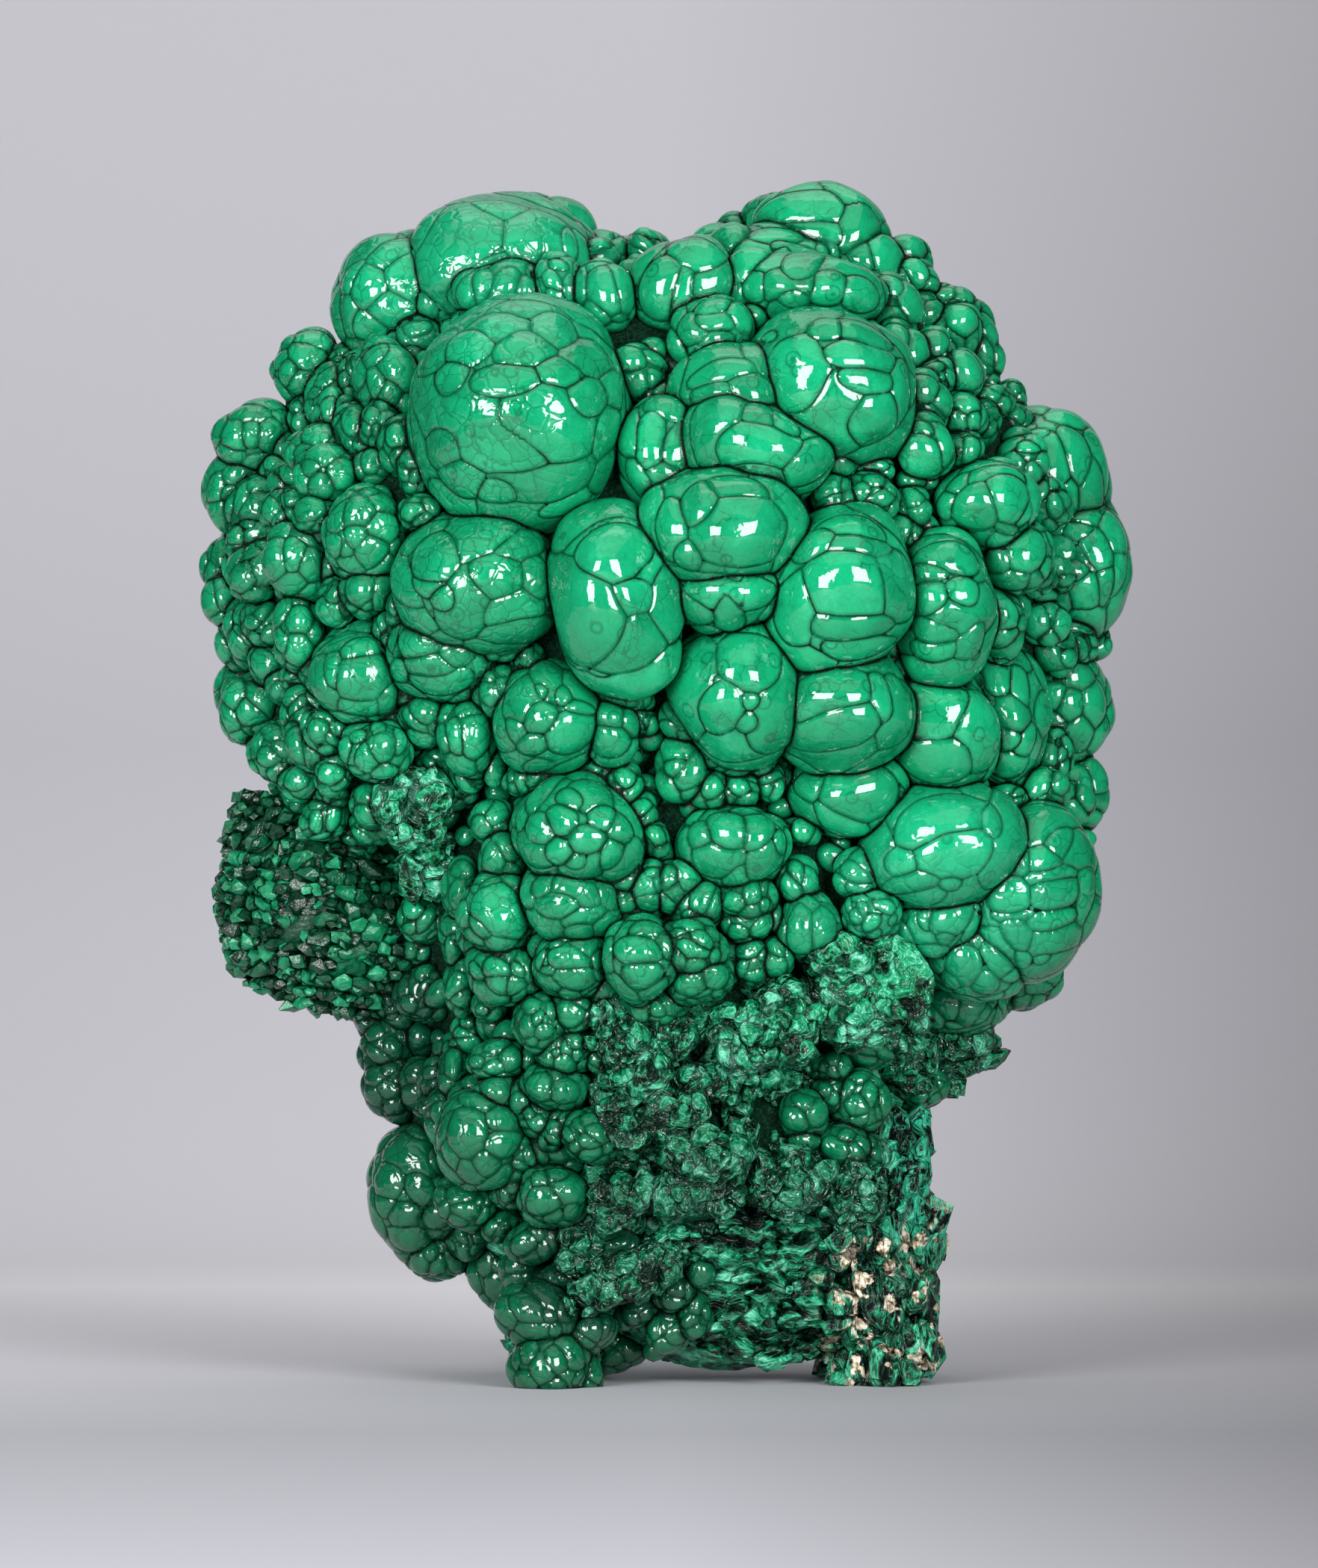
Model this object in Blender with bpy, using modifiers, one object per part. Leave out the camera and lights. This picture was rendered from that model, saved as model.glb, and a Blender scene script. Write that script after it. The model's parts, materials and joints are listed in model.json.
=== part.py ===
"""Malachite specimen: one botryoidal mass, grown as a whole and resting on its broken foot.

The body is a few core masses. Rounded heads stand on the cores, broken faces and ledges take the
lower front, and a crumbly spur sticks out on the left. Everything is one solid with a flat cut
where the feet touch the ground.
"""
import math
import random

import bmesh
import bpy
from mathutils import Matrix, Vector

# ---- driving dimensions, metres
MM = 0.001
FOOT_CUT = 0.003        # height in the tables at which the feet are cut flat
SKIN_STEP = 0.0021      # step at which the heads and cores melt into one skin
TRIANGLES = 9300        # facets left on the finished solid
PRESS = 0.16            # how far a head grows into its neighbours, as a share of its size
MOST_PRESS = 1.6        # the most that a head grows, mm
REAR_HEAD_SIZES = (17.0, 14.0, 11.5, 9.5, 8.0, 6.5, 5.5)   # half widths on the far side, mm
REAR_TRIES = 700        # places tried for each of those sizes
REAR_PACKING = 0.80     # how far apart the rear heads stand, as a share of their radii
REAR_LIMIT = 73.0       # how far back a rear head may reach, mm
REAR_START = -13.0      # rear heads start at this depth, mm
CROWN = 236.0           # above this height rear heads also stand inside the core's outline, mm
LOWEST_REAR = 34.0      # rear heads end at this height above the feet, mm
GRAINS = 260            # grains on the spur
LEDGES = 150            # ragged ledges on the foot

# ---- core masses: x, y, z, half width, half depth, half height, in mm
CORES = {
    "head": (0, 2, 183, 90, 48, 69),
    "right_cheek": (66, 4, 122, 26, 30, 30),
    "left_cheek": (-62, 4, 148, 26, 32, 30),
    "neck": (2, 4, 112, 61, 44, 60),
    "stem": (-4, 4, 60, 53, 38, 42),
    "foot": (12, 2, 42, 40, 32, 37),
    "left_foot": (-23, 0, 14, 11, 31, 18),
    "right_foot": (46, 4, 30, 11, 29, 42),
}
SPUR = ((-80, 0, 110, 21, 17, 21), (-70, 2, 100, 20, 18, 15), (-86, 2, 122, 14, 13, 12))

# ---- heads on the near side: x, z, half width, half height, tilt in degrees, and how far the
# ---- middle stands out of the core, in mm
HEADS = {
    "crown": [
        (-38, 253, 20, 14.2, 4, 6), (-61.5, 245, 12.2, 13, -25, 4), (-49.5, 243.8, 5.4, 5.4, 35, 13),
        (-35.5, 244.8, 9.8, 5.2, 0, 13), (-23, 245.8, 4.6, 5.6, 0, 11), (-31, 261.5, 13.5, 6.8, 0, -14),
        (-14, 252.5, 7.5, 7.5, -40, -6), (-13.8, 243.5, 5.4, 7.2, 5, 6), (-8, 234, 4.8, 5, 0, -8),
        (-0.2, 228, 4.3, 4, 0, -4), (-4, 222.3, 4, 2.8, 0, -2), (-3, 253.8, 6.4, 6.5, 0, -12),
        (4.5, 244.5, 10, 9.2, -8, 4), (10.7, 256.5, 5.2, 4.4, 20, -10), (15.5, 260.5, 4, 3.4, 20, -14),
        (23.3, 264, 5.3, 4.7, 0, -12), (36, 260.5, 13.2, 8.8, -12, -2), (24.5, 253, 13.5, 6.2, 0, 5),
        (30.5, 244.6, 16.5, 7.2, -4, 10), (44.5, 250.5, 7, 8.5, 35, 2), (10.2, 234.8, 7.6, 6.8, 0, 6),
        (37, 222.5, 17, 14.5, -28, 8),
    ],
    "globe": [
        (-31.5, 216, 21.8, 24.6, 0, 3),
    ],
    "left column": [
        (-70.5, 230.5, 4.8, 4, -20, 4), (-60, 224, 6, 9, 20, 2), (-67, 213.5, 4.8, 6, 10, 0),
        (-58.5, 210.5, 4, 6, 0, 3), (-64, 206.5, 3.8, 3.4, 0, 0), (-54, 204, 3.6, 5, 20, 3),
        (-53.4, 194.6, 3.5, 3.6, 0, 5), (-80.5, 229.5, 6.5, 8.2, -15, 0), (-74, 221.5, 6, 6.5, 20, 2),
        (-69.3, 219, 2.6, 2.6, 0, 3), (-82.5, 219.5, 2.8, 2.8, 0, 0), (-92, 213, 8, 7, 10, 0),
        (-83, 210.5, 4, 4.2, 0, 4), (-76, 210.5, 6.8, 4.2, 20, 4), (-74.5, 204.8, 5.5, 5.4, 0, 6),
        (-82, 204, 2.4, 2.4, 0, 5), (-96, 201, 6.2, 8.5, 0, -2), (-89.8, 198, 6.2, 6.4, 0, 4),
        (-82, 197.5, 2.3, 3.9, 0, 6), (-76.8, 195, 4.4, 3.8, 20, 7), (-75, 190.5, 2.4, 2.4, 0, 5),
        (-93.5, 186, 5, 5.2, 0, 2), (-99.5, 186, 3.8, 6, -10, -6), (-81.3, 184.5, 7.8, 7, -10, 5),
        (-73.4, 183, 2, 3.4, 0, 4), (-99, 177.3, 4.4, 5, 0, -2), (-91, 171.5, 5.8, 8.2, 0, 3),
        (-97, 167.5, 3.8, 6, 10, -2), (-88.6, 162.3, 3.6, 2.6, 0, 3), (-80, 169, 5, 7.9, 0, 6),
        (-80.5, 158.8, 3.8, 3, 0, 4), (-72, 175.6, 3.4, 4.6, 0, 6),
    ],
    "cheek and chin": [
        (-65.5, 190.3, 7.6, 9.8, 0, 5), (-65.3, 178, 5.6, 5, 15, 5), (-66.5, 160, 8.8, 8.6, 0, 6),
        (-56.4, 155.3, 2.3, 2.4, 0, 5), (-57.2, 183.3, 2, 2.6, 0, 3), (-40, 180, 16, 13.5, 0, 4),
        (-48, 165, 9.8, 9, 0, 3), (-57, 173.7, 3.2, 3.6, 0, 5), (-51.5, 172.8, 3.5, 3.2, 0, 6),
        (-60.3, 168.5, 3, 4.6, 30, 3), (-36, 166.5, 5, 3.4, 20, 4),
    ],
    "jaw": [
        (-91.3, 152.5, 8, 6.6, 20, 3), (-95.5, 157, 5.5, 6.5, 10, -6), (-85.3, 142.5, 6.6, 6.2, 0, 4),
        (-75, 147.8, 4.3, 4.2, 0, 6), (-80.8, 136.5, 4.6, 4, 0, 4), (-73.3, 138.8, 3.6, 4.8, 0, 5),
        (-64.2, 143.3, 6.6, 5.8, -15, 7), (-53.3, 150.5, 4.4, 4.4, 20, 5),
        (-55, 147.3, 3.8, 2.8, -10, 4), (-43.7, 147, 5.6, 6.6, 0, 5), (-44, 139.3, 3.4, 4.4, 20, 5),
        (-37.4, 140.3, 2.4, 3.6, 0, 6), (-37, 156.3, 4.6, 4.6, 40, 4), (-30.5, 162.7, 3.8, 2.8, 30, 2),
    ],
    "berry clusters": [
        (-25, 150.5, 10.3, 10.3, 0, 6), (-12, 147.5, 5.4, 6.6, 0, 6), (-27.8, 137.5, 6.6, 3.8, -5, 7),
        (-14.7, 138, 4.2, 2.4, -5, 6), (-8.5, 135.6, 3.4, 3.8, 0, 6), (-18.3, 125, 11.8, 9.8, -10, 8),
        (-20.5, 110.5, 9.6, 7.4, -20, 7), (-4.5, 129.8, 3.1, 3.3, 0, 5), (-2.2, 124.5, 2.8, 3.3, 0, 5),
        (-4, 113.7, 3, 5.2, -10, 4), (-9, 116, 3.2, 3.8, -15, 5), (-9.5, 110.5, 3.4, 3, 0, 5),
    ],
    "worm": [
        (-10.3, 176.5, 11.6, 18.2, 10, 8), (-8.8, 156, 6.2, 3.4, -12, 3),
    ],
    "face": [
        (12.5, 192, 16.3, 11.6, 5, 10), (13.3, 177.8, 11.3, 6.8, 4, 10), (20.5, 209, 15.5, 8.6, -12, 9),
        (7.5, 203.5, 4.4, 3, 42, 7), (4.2, 210.3, 5.6, 6.2, 30, 5), (15.5, 221, 12, 9.2, -8, 7),
        (-0.8, 208.5, 7, 11.5, -5, 3),
    ],
    "right shoulder": [
        (51.8, 231.5, 4.4, 6.6, 25, 4), (50, 240.5, 4, 4.2, -30, 3), (56.8, 240.7, 4.4, 5.6, 20, 5),
        (58.6, 231, 4, 5.2, 5, 6), (64.6, 236.3, 5.2, 6.2, -15, 5), (64.6, 225.8, 5, 5.2, -35, 6),
        (70.5, 233, 4.2, 8.4, 15, -2), (72, 225, 3, 5, 10, 0), (56, 249.3, 5.6, 4.2, -15, 2),
        (54, 254.8, 5.4, 3.8, -20, -4), (65, 244.3, 6, 3.2, -28, 0), (69, 240.5, 3.5, 6, 40, -6),
        (57.3, 220, 4.6, 6.2, 22, 6), (57.2, 210.7, 5, 5.6, 15, 7), (65.5, 216.8, 4.6, 4.6, -10, 4),
        (65.5, 210, 4.4, 3.8, 0, 4), (70.8, 215.5, 2.6, 5, 0, 3), (72, 221.5, 2.8, 2.8, 0, 2),
        (39, 208, 3.6, 6, 18, 4), (46.4, 204.8, 4, 2.9, 0, 4), (45.3, 198.2, 5.3, 4.4, 0, 5),
        (54.6, 203, 2.5, 2.5, 0, 3), (54.6, 196.6, 3.3, 4.2, 0, 3), (77, 216.6, 3.8, 3.7, 0, 0),
        (77.5, 222, 4.2, 3.8, -30, -4),
    ],
    "right rim": [
        (86.5, 206, 12, 13.5, 35, 2), (70.6, 197.3, 9.6, 8, 5, 7), (77, 185.8, 7.6, 6.6, 10, 6),
        (93.5, 184.5, 10.8, 15.5, -8, 1), (82.6, 181, 3.4, 3.2, 40, 6), (84.5, 170.5, 5, 4.2, -20, 4),
        (90.5, 167.8, 4, 3.2, -15, 2), (95.6, 167.2, 3.6, 3.6, 0, -2), (78.3, 174.7, 2.6, 3.2, 0, 2),
        (90.3, 153, 9.8, 11.8, 0, 1), (91.5, 134.5, 7.4, 8, 0, 0), (84, 127, 4, 3, -30, -2),
        (92.8, 121.5, 2.8, 4.4, 0, -6),
    ],
    "right centre": [
        (38, 178, 14.6, 16, -8, 9), (61, 175, 9.6, 14.2, 6, 8), (73.5, 171.7, 4.8, 8, 18, 5),
        (56.3, 161.2, 4.8, 2.4, 4, 6), (59.6, 148, 10.6, 12.3, 10, 9), (74.3, 151.5, 8.4, 15, 3, 5),
        (38.7, 152.3, 13.8, 11.2, -6, 11), (27.4, 146.3, 3.2, 3, 0, 6), (40, 134.3, 11.6, 8, 0, 9),
        (22.8, 136.5, 2.6, 4.2, 0, 6),
    ],
    "knobs": [
        (16.5, 156, 11.6, 13.6, 8, 8), (12.8, 142.5, 5.8, 3.4, -25, 7), (20, 142, 3.6, 3.4, 0, 6),
        (4.8, 138.7, 5, 6.2, 20, 6), (16.4, 134.6, 3.4, 3.2, 0, 6), (10.8, 134.2, 3, 3.2, 0, 6),
        (3.6, 150, 3.4, 4.6, 20, 4), (15.5, 121.8, 11, 7.6, 0, 2), (29.7, 125, 4.2, 2.7, -10, 3),
        (7.2, 110.3, 4.8, 4.6, 0, 3), (17.5, 111, 6.2, 4.4, 0, 4), (18, 105.6, 4.4, 3.6, 0, 4),
        (30, 114, 3.8, 4.2, 0, 3), (24, 106.5, 2, 3.2, 15, 3), (32, 104.4, 5.8, 6.2, 0, 5),
        (24.8, 98, 3.2, 4, 0, 4), (19, 97, 3.8, 4.8, 10, 3), (-4.8, 97.6, 6.8, 7.6, -8, 9),
        (5.7, 100.4, 5.8, 5.4, 0, 9), (8.3, 93.6, 6, 4.4, 22, 8), (-2.5, 88, 7.5, 3.4, 0, 4),
    ],
    "cauliflower": [
        (61, 122.5, 15.5, 12, 10, 9), (43, 116, 4.2, 5.4, -10, 8), (45.7, 107.2, 5.4, 5.1, -10, 11),
        (61, 106, 8.7, 5.4, 18, 11), (69, 97.8, 8.9, 7.3, -8, 12), (58.4, 94.6, 3.2, 4.6, 0, 9),
        (53, 98.8, 2.8, 2.2, -40, 9), (82, 112, 13.6, 17, -8, 5), (65.5, 87.3, 9, 5.4, -3, 8),
        (81.5, 91.5, 7, 5.4, 25, -2), (72, 88, 6, 5, 10, 2),
    ],
    "stem": [
        (-37, 107.3, 7, 8, -22, 8), (-35.6, 119.6, 4.4, 4.8, 0, 7), (-38.4, 127.8, 4, 4.6, -30, 7),
        (-31.4, 126, 2.2, 3.4, 0, 5), (-41, 101.6, 4.4, 4, 0, 6), (-35.5, 94.5, 7.4, 5.6, -8, 7),
        (-27.3, 100.8, 2.8, 3, 0, 6), (-29, 104.2, 2.2, 2.2, 0, 5), (-20.5, 96.6, 7.2, 6.6, 12, 7),
        (-26.9, 83, 5.5, 5.4, 0, 8), (-19.6, 86, 4, 4.2, 0, 6), (-21.2, 77.3, 6, 4.4, 22, 7),
        (-34.5, 81, 2.5, 2.8, 0, 6), (-36.2, 74.3, 5.2, 4.6, 0, 7), (-30, 74.8, 2.1, 2.6, 0, 6),
        (-24.2, 69.2, 6.2, 4.2, -5, 6), (-36.6, 66.6, 4.4, 3.4, 0, 7), (-31, 66, 2.6, 3.6, 0, 6),
        (-28, 62.3, 3.8, 3.6, -10, 5), (-43.3, 80.3, 3.4, 5.2, -10, 5), (-44.8, 91, 3, 5.4, 0, 5),
        (-44.5, 112.5, 3.6, 6, 0, 4), (-46.5, 101.5, 2.8, 5.6, 0, 3), (-46, 71, 3.4, 5.6, 0, 4),
        (-38.4, 87.3, 3.4, 2.8, 0, 5), (-48.3, 62, 3, 6.4, 0, 3), (-60.5, 67.8, 6.2, 6.2, -10, 3),
        (-62.5, 77.5, 5.6, 7.6, -12, 1), (-60.5, 89, 3.6, 6.8, 25, 4), (-53.6, 91, 5.8, 5.4, -20, 5),
        (-66.3, 85.5, 3.6, 6, 5, 0), (-54, 106.5, 5.8, 4.6, 0, 2), (-55.5, 99.6, 3.8, 3, 0, 4),
        (-53.5, 80.5, 4, 4, -20, 3), (-54.5, 70.5, 4, 5.5, 0, 3),
    ],
    "pendant": [
        (-40, 57, 7.8, 8.6, 10, 8), (-44, 43.4, 5.7, 4.6, -15, 8), (-49.3, 40.5, 4.4, 5.4, -15, 5),
        (-33, 53, 4, 4.8, -20, 5), (-56, 45.5, 9.2, 14, -5, 4), (-50.2, 30.2, 6.4, 5, 0, 4),
        (-43.5, 34.5, 3.8, 4.2, -10, 3),
    ],
    "left foot": [
        (-25, 44.8, 6.8, 5.8, 0, 7), (-34, 46.6, 3.8, 3.8, 30, 5), (-28.6, 50, 3, 2.8, 0, 4),
        (-37.8, 27.5, 5, 8.4, 15, 4), (-36, 38, 3.8, 3, 0, 5), (-28.4, 34.9, 5, 3.8, 5, 8),
        (-30.6, 27.7, 3.8, 4.4, 0, 8), (-23.6, 27.5, 4, 2.6, 25, 8), (-10.3, 34, 3.6, 3.4, 10, 6),
        (-29.3, 18, 7.4, 6.4, -12, 7), (-26.7, 7.3, 7.2, 6.6, 0, 6), (-17.6, 5.5, 3.6, 4.8, 0, 6),
        (-11, 9.7, 6.8, 4.8, 8, 8), (-16.3, 15.2, 5, 3.4, 20, 7), (-18.6, 10.6, 2.4, 3.2, 0, 5),
        (-6, 19.5, 5, 2.9, 22, 6), (0.6, 15.3, 4.3, 4.3, 0, 6), (-2.6, 9.8, 2.2, 2.4, 0, 6),
        (2, 23.7, 4.2, 3.2, 20, 4), (6.4, 18.5, 3, 4.4, 0, 4), (8, 28, 2.8, 3, 0, 3),
    ],
    "small balls": [
        (41.9, 66, 5.8, 5.6, 0, 8), (39.4, 56, 4.6, 4.6, 0, 7), (31.4, 57.4, 3, 2, 0, 5),
        (36.3, 67.5, 3, 3.6, 0, 6), (36, 73.3, 3.8, 3.2, 0, 6), (45.5, 76.5, 5, 3.4, 0, 6),
        (31, 63, 4, 3.8, 0, 5), (47, 72.4, 3.4, 2.8, 0, 5), (45, 55, 2, 4.4, 0, 3),
        (-16.3, 59, 5.2, 4.6, -10, 7), (-23.5, 60.3, 2.8, 4.8, -40, 5), (-12.5, 75.5, 3.8, 3.2, 0, 5),
        (55.5, 67.5, 8, 5, 12, 3),
    ],
    "broken": [
        (48, 92.7, 9.2, 8.6, 0, 10), (38.5, 97.8, 7, 4, -5, 8), (40, 87.5, 10, 9, -10, 6),
        (55.8, 76.5, 5.4, 6, 0, 7), (50.5, 82, 8.5, 4.6, 12, 5), (66, 80, 8.6, 5, 15, 2),
        (70, 75.5, 5.4, 4.4, 20, -3), (63.5, 70.5, 4.8, 4.8, 0, -1), (19, 81, 8, 6.4, -10, 9),
        (26, 83.5, 7.4, 8.6, -20, 6), (-10, 82.3, 5.6, 5.8, 0, 5), (-0.5, 82, 5, 5.4, 0, 3),
        (-6, 72.5, 7, 5.4, -15, 5), (2, 64, 6.4, 5, 0, 6), (-9, 62, 4.6, 4.6, 0, 5),
        (-55.6, 131.3, 6.5, 8, 5, 6), (-53, 117.6, 6, 6, 0, 5), (-18.4, 33.8, 4.8, 4.7, 0, 6),
        (-8.5, 27.5, 15.5, 4.8, 25, 6), (-10.6, 44.5, 6.4, 4.6, 15, 5), (8, 54.5, 9, 5, -8, 5),
        (6, 46, 10, 5, 5, 4), (27, 49, 8.6, 6.4, 8, 6), (41, 45, 6, 6.4, 0, 5), (14, 70, 12, 4, 5, 2),
    ],
}

# ---- the right foot's rough outline: x, z, half width, half height, tilt, stand
FOOT_LUMPS = [
    (52, 56, 6, 7, 0, 0), (51, 45, 7, 6, 0, 2), (53, 35, 7, 7, 0, 0), (50, 24, 7.5, 6, 0, 3),
    (52, 13, 7.5, 7, 0, 2), (47, 6, 9, 6, 0, 4), (42, 34, 8, 7, 20, 4), (40, 20, 7, 7, 0, 4),
    (30, 32, 9, 7, -15, 3), (24, 22, 9, 6, 10, 3), (33, 12, 7, 5, 15, 3), (22, 12, 8, 5, -10, 2),
    (28.5, 4, 4.2, 3.6, 0, 4), (20, 38, 9, 5, 5, 4), (36, 43, 6, 5, 0, 4), (12, 34, 7, 4, 0, 3),
    (13, 14, 6, 4.4, 0, 2), (5, 36, 7, 4, 0, 4),
]


def cleared():
    """An empty scene."""
    for item in list(bpy.data.objects):
        bpy.data.objects.remove(item)
    for group in list(bpy.data.collections):
        bpy.data.collections.remove(group)


def collection(name):
    """A new collection in the scene."""
    group = bpy.data.collections.new(name)
    bpy.context.scene.collection.children.link(group)
    return group


def malachite():
    """Polished-looking dark green stone."""
    material = bpy.data.materials.new("malachite")
    material.use_nodes = True
    shader = material.node_tree.nodes["Principled BSDF"]
    shader.inputs["Base Color"].default_value = (0.022, 0.25, 0.12, 1.0)
    shader.inputs["Roughness"].default_value = 0.22
    shader.inputs["Metallic"].default_value = 0.0
    material.diffuse_color = (0.022, 0.25, 0.12, 1.0)
    return material


def place(x, y, z):
    """A table position, with the cut of the feet at height zero."""
    return Vector((x * MM, y * MM, z * MM - FOOT_CUT))


def egg(bm, centre, radii, tilt=0.0, detail=3):
    """One rounded lump; a positive tilt lifts its right end."""
    turn = Matrix.Rotation(math.radians(-tilt), 4, "Y")
    size = Matrix.Diagonal((radii[0] * MM, radii[1] * MM, radii[2] * MM, 1.0))
    bmesh.ops.create_icosphere(
        bm,
        subdivisions=detail,
        radius=1.0,
        matrix=Matrix.Translation(place(*centre)) @ turn @ size,
    )


def skin_depth(x, z, side):
    """Depth of the core's surface at x, z on the near side (-1) or the far side (1)."""
    found = []
    for cx, cy, cz, rx, ry, rz in CORES.values():
        inside = 1.0 - ((x - cx) / rx) ** 2 - ((z - cz) / rz) ** 2
        if inside > 0.0:
            found.append(cy + side * ry * math.sqrt(inside))
    if not found:
        return 2.0
    return min(found) if side < 0 else max(found)


def within(x, z, row, margin):
    """Whether a point of the upright plane lies in a row's outline grown by a margin."""
    turn = math.radians(row[4])
    dx, dz = x - row[0], z - row[1]
    along = (dx * math.cos(turn) + dz * math.sin(turn)) / (row[2] + margin)
    rising = (dz * math.cos(turn) - dx * math.sin(turn)) / (row[3] + margin)
    return along * along + rising * rising < 1.0


def in_core(x, z, margin):
    """Whether a point of the upright plane lies in front of a core mass."""
    return any(
        ((x - cx) / (rx + margin)) ** 2 + ((z - cz) / (rz + margin)) ** 2 < 1.0
        for cx, _, cz, rx, _, rz in CORES.values()
    )


def pressed(row, rows):
    """How far a head grows, and how far it draws back from its free side, in x and z.

    Heads press on their neighbours. A side with no neighbour and no core behind it is part of the
    specimen's outline, and stays where it is.
    """
    x, z, a, b, tilt = row[:5]
    push = min(PRESS * min(a, b), MOST_PRESS)
    turn = math.radians(tilt)
    free = []
    for k in range(24):
        around = math.tau * k / 24.0
        nu, nv = math.cos(around) / a, math.sin(around) / b
        length = math.hypot(nu, nv)
        nu, nv = nu / length, nv / length
        pu = a * math.cos(around) + nu * push
        pv = b * math.sin(around) + nv * push
        px = x + pu * math.cos(turn) - pv * math.sin(turn)
        pz = z + pu * math.sin(turn) + pv * math.cos(turn)
        others = (other for other in rows if other is not row and abs(other[0] - px) < 40.0)
        if in_core(px, pz, 0.0) or any(within(px, pz, other, 0.3) for other in others):
            continue
        free.append((nu * math.cos(turn) - nv * math.sin(turn), nu * math.sin(turn) + nv * math.cos(turn)))
    if not free:
        return push, 0.0, 0.0
    fx = sum(way[0] for way in free) / len(free)
    fz = sum(way[1] for way in free) / len(free)
    pull = math.hypot(fx, fz)
    push *= min(1.0, 1.3 * pull)
    return push, -push * fx / max(pull, 0.01), -push * fz / max(pull, 0.01)


def near_rows():
    """All rows of the near side in one list."""
    return [row for rows in HEADS.values() for row in rows]


def near_heads():
    """Centre, radii and tilt of each head on the near side."""
    heads = []
    rows = near_rows()
    for row in rows:
        x, z, a, b, tilt, stand = row
        push, shift_x, shift_z = pressed(row, rows)
        y = min(skin_depth(x, z, -1) - stand, 2.0 - stand) + 0.7 * push
        radii = (a + push, 0.52 * (a + b) + push, b + push)
        heads.append(((x + shift_x, y, z + shift_z), radii, tilt))
    return heads


def shows(spot, radius, rows):
    """Whether a rear head would show past the outline of the near side."""
    for k in range(16):
        x = spot.x + radius * math.cos(math.tau * k / 16.0)
        z = spot.z + radius * math.sin(math.tau * k / 16.0)
        if not (in_core(x, z, 1.0) or any(within(x, z, row, 0.5) for row in rows)):
            return True
    return False


def rear_heads(rows):
    """Heads packed over the far side, the large ones first."""
    rng = random.Random(41)
    kept = []
    for x, z, a, b, _, stand in rows:
        y = min(skin_depth(x, z, -1) - stand, 2.0 - stand)
        kept.append((Vector((x, y, z)), max(a, b, 0.52 * (a + b))))
    heads = []
    regions = ("head", "head", "head", "neck", "right_cheek", "left_cheek", "stem")
    for size in REAR_HEAD_SIZES:
        for _ in range(REAR_TRIES):
            cx, cy, cz, rx, ry, rz = CORES[rng.choice(regions)]
            turn = rng.uniform(-0.7, math.pi + 0.7)
            rise = rng.uniform(-0.95, 1.0)
            flat = math.sqrt(1.0 - rise * rise)
            spot = Vector((
                cx + rx * 1.02 * flat * math.cos(turn),
                cy + ry * 1.05 * flat * math.sin(turn),
                cz + rz * 1.02 * rise,
            ))
            stretch = rng.uniform(0.85, 1.18)
            radius = size * rng.uniform(0.9, 1.1)
            tilt = rng.uniform(-30, 30)
            if spot.y < REAR_START or spot.z < LOWEST_REAR + radius or spot.y + radius > REAR_LIMIT:
                continue
            if spot.z < CROWN and skin_depth(spot.x, spot.z, 1) - spot.y > 0.5 * radius + 14.0:
                continue
            if any((spot - other).length < REAR_PACKING * (radius + reach) for other, reach in kept):
                continue
            if shows(spot, radius * max(1.0, stretch), rows):
                continue
            kept.append((spot, radius))
            heads.append(((spot.x, spot.y, spot.z), (radius, radius, radius * stretch), tilt))
    return heads


def grains(bm):
    """Blocky grains all over the spur."""
    rng = random.Random(7)
    for _ in range(GRAINS):
        cx, cy, cz, rx, ry, rz = rng.choice(SPUR)
        turn = rng.uniform(0.0, 2.0 * math.pi)
        rise = rng.uniform(-1.0, 1.0)
        flat = math.sqrt(1.0 - rise * rise)
        centre = (
            cx + rx * flat * math.cos(turn),
            cy + ry * flat * math.sin(turn),
            cz + rz * rise,
        )
        if centre[0] < -101.0:
            continue
        radius = rng.uniform(2.2, 4.2)
        egg(bm, centre, (radius * 1.25, radius, radius * 0.75), rng.uniform(-20, 20), detail=1)


def ledges(bm):
    """Ragged, layered ledges on the right foot and under the stem."""
    rng = random.Random(19)
    for _ in range(LEDGES):
        cx, cy, cz, rx, ry, rz = CORES[rng.choice(("right_foot", "foot", "foot", "left_foot"))]
        turn = rng.uniform(0.0, 2.0 * math.pi)
        rise = rng.uniform(-0.85, 0.7)
        flat = math.sqrt(1.0 - rise * rise)
        centre = (
            cx + rx * flat * math.cos(turn),
            cy + ry * flat * math.sin(turn),
            cz + rz * rise,
        )
        if centre[2] < 9.0 and abs(centre[0] - 10.0) < 24.0:
            continue
        wide = rng.uniform(3.0, 7.0)
        egg(bm, centre, (wide, wide * 0.8, wide * 0.42), rng.uniform(-25, 25), detail=1)


def lumps():
    """Cores, heads, spur and ledges as separate closed lumps in one mesh."""
    bm = bmesh.new()
    for x, y, z, rx, ry, rz in CORES.values():
        egg(bm, (x, y, z), (rx, ry, rz), detail=4)
    for x, y, z, rx, ry, rz in SPUR:
        egg(bm, (x, y, z), (rx, ry, rz), detail=3)
    for centre, radii, tilt in near_heads() + rear_heads(near_rows()):
        egg(bm, centre, radii, tilt)
    for x, z, a, b, tilt, stand in FOOT_LUMPS:
        y = skin_depth(x, z, -1) - stand
        egg(bm, (x, y + 4.0, z), (a, 0.6 * (a + b), b), tilt, detail=2)
        egg(bm, (x, skin_depth(x, z, 1) - 4.0, z), (a, 0.5 * (a + b), b), -tilt, detail=2)
    grains(bm)
    ledges(bm)
    mesh = bpy.data.meshes.new("malachite_specimen")
    bm.to_mesh(mesh)
    bm.free()
    return mesh


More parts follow.
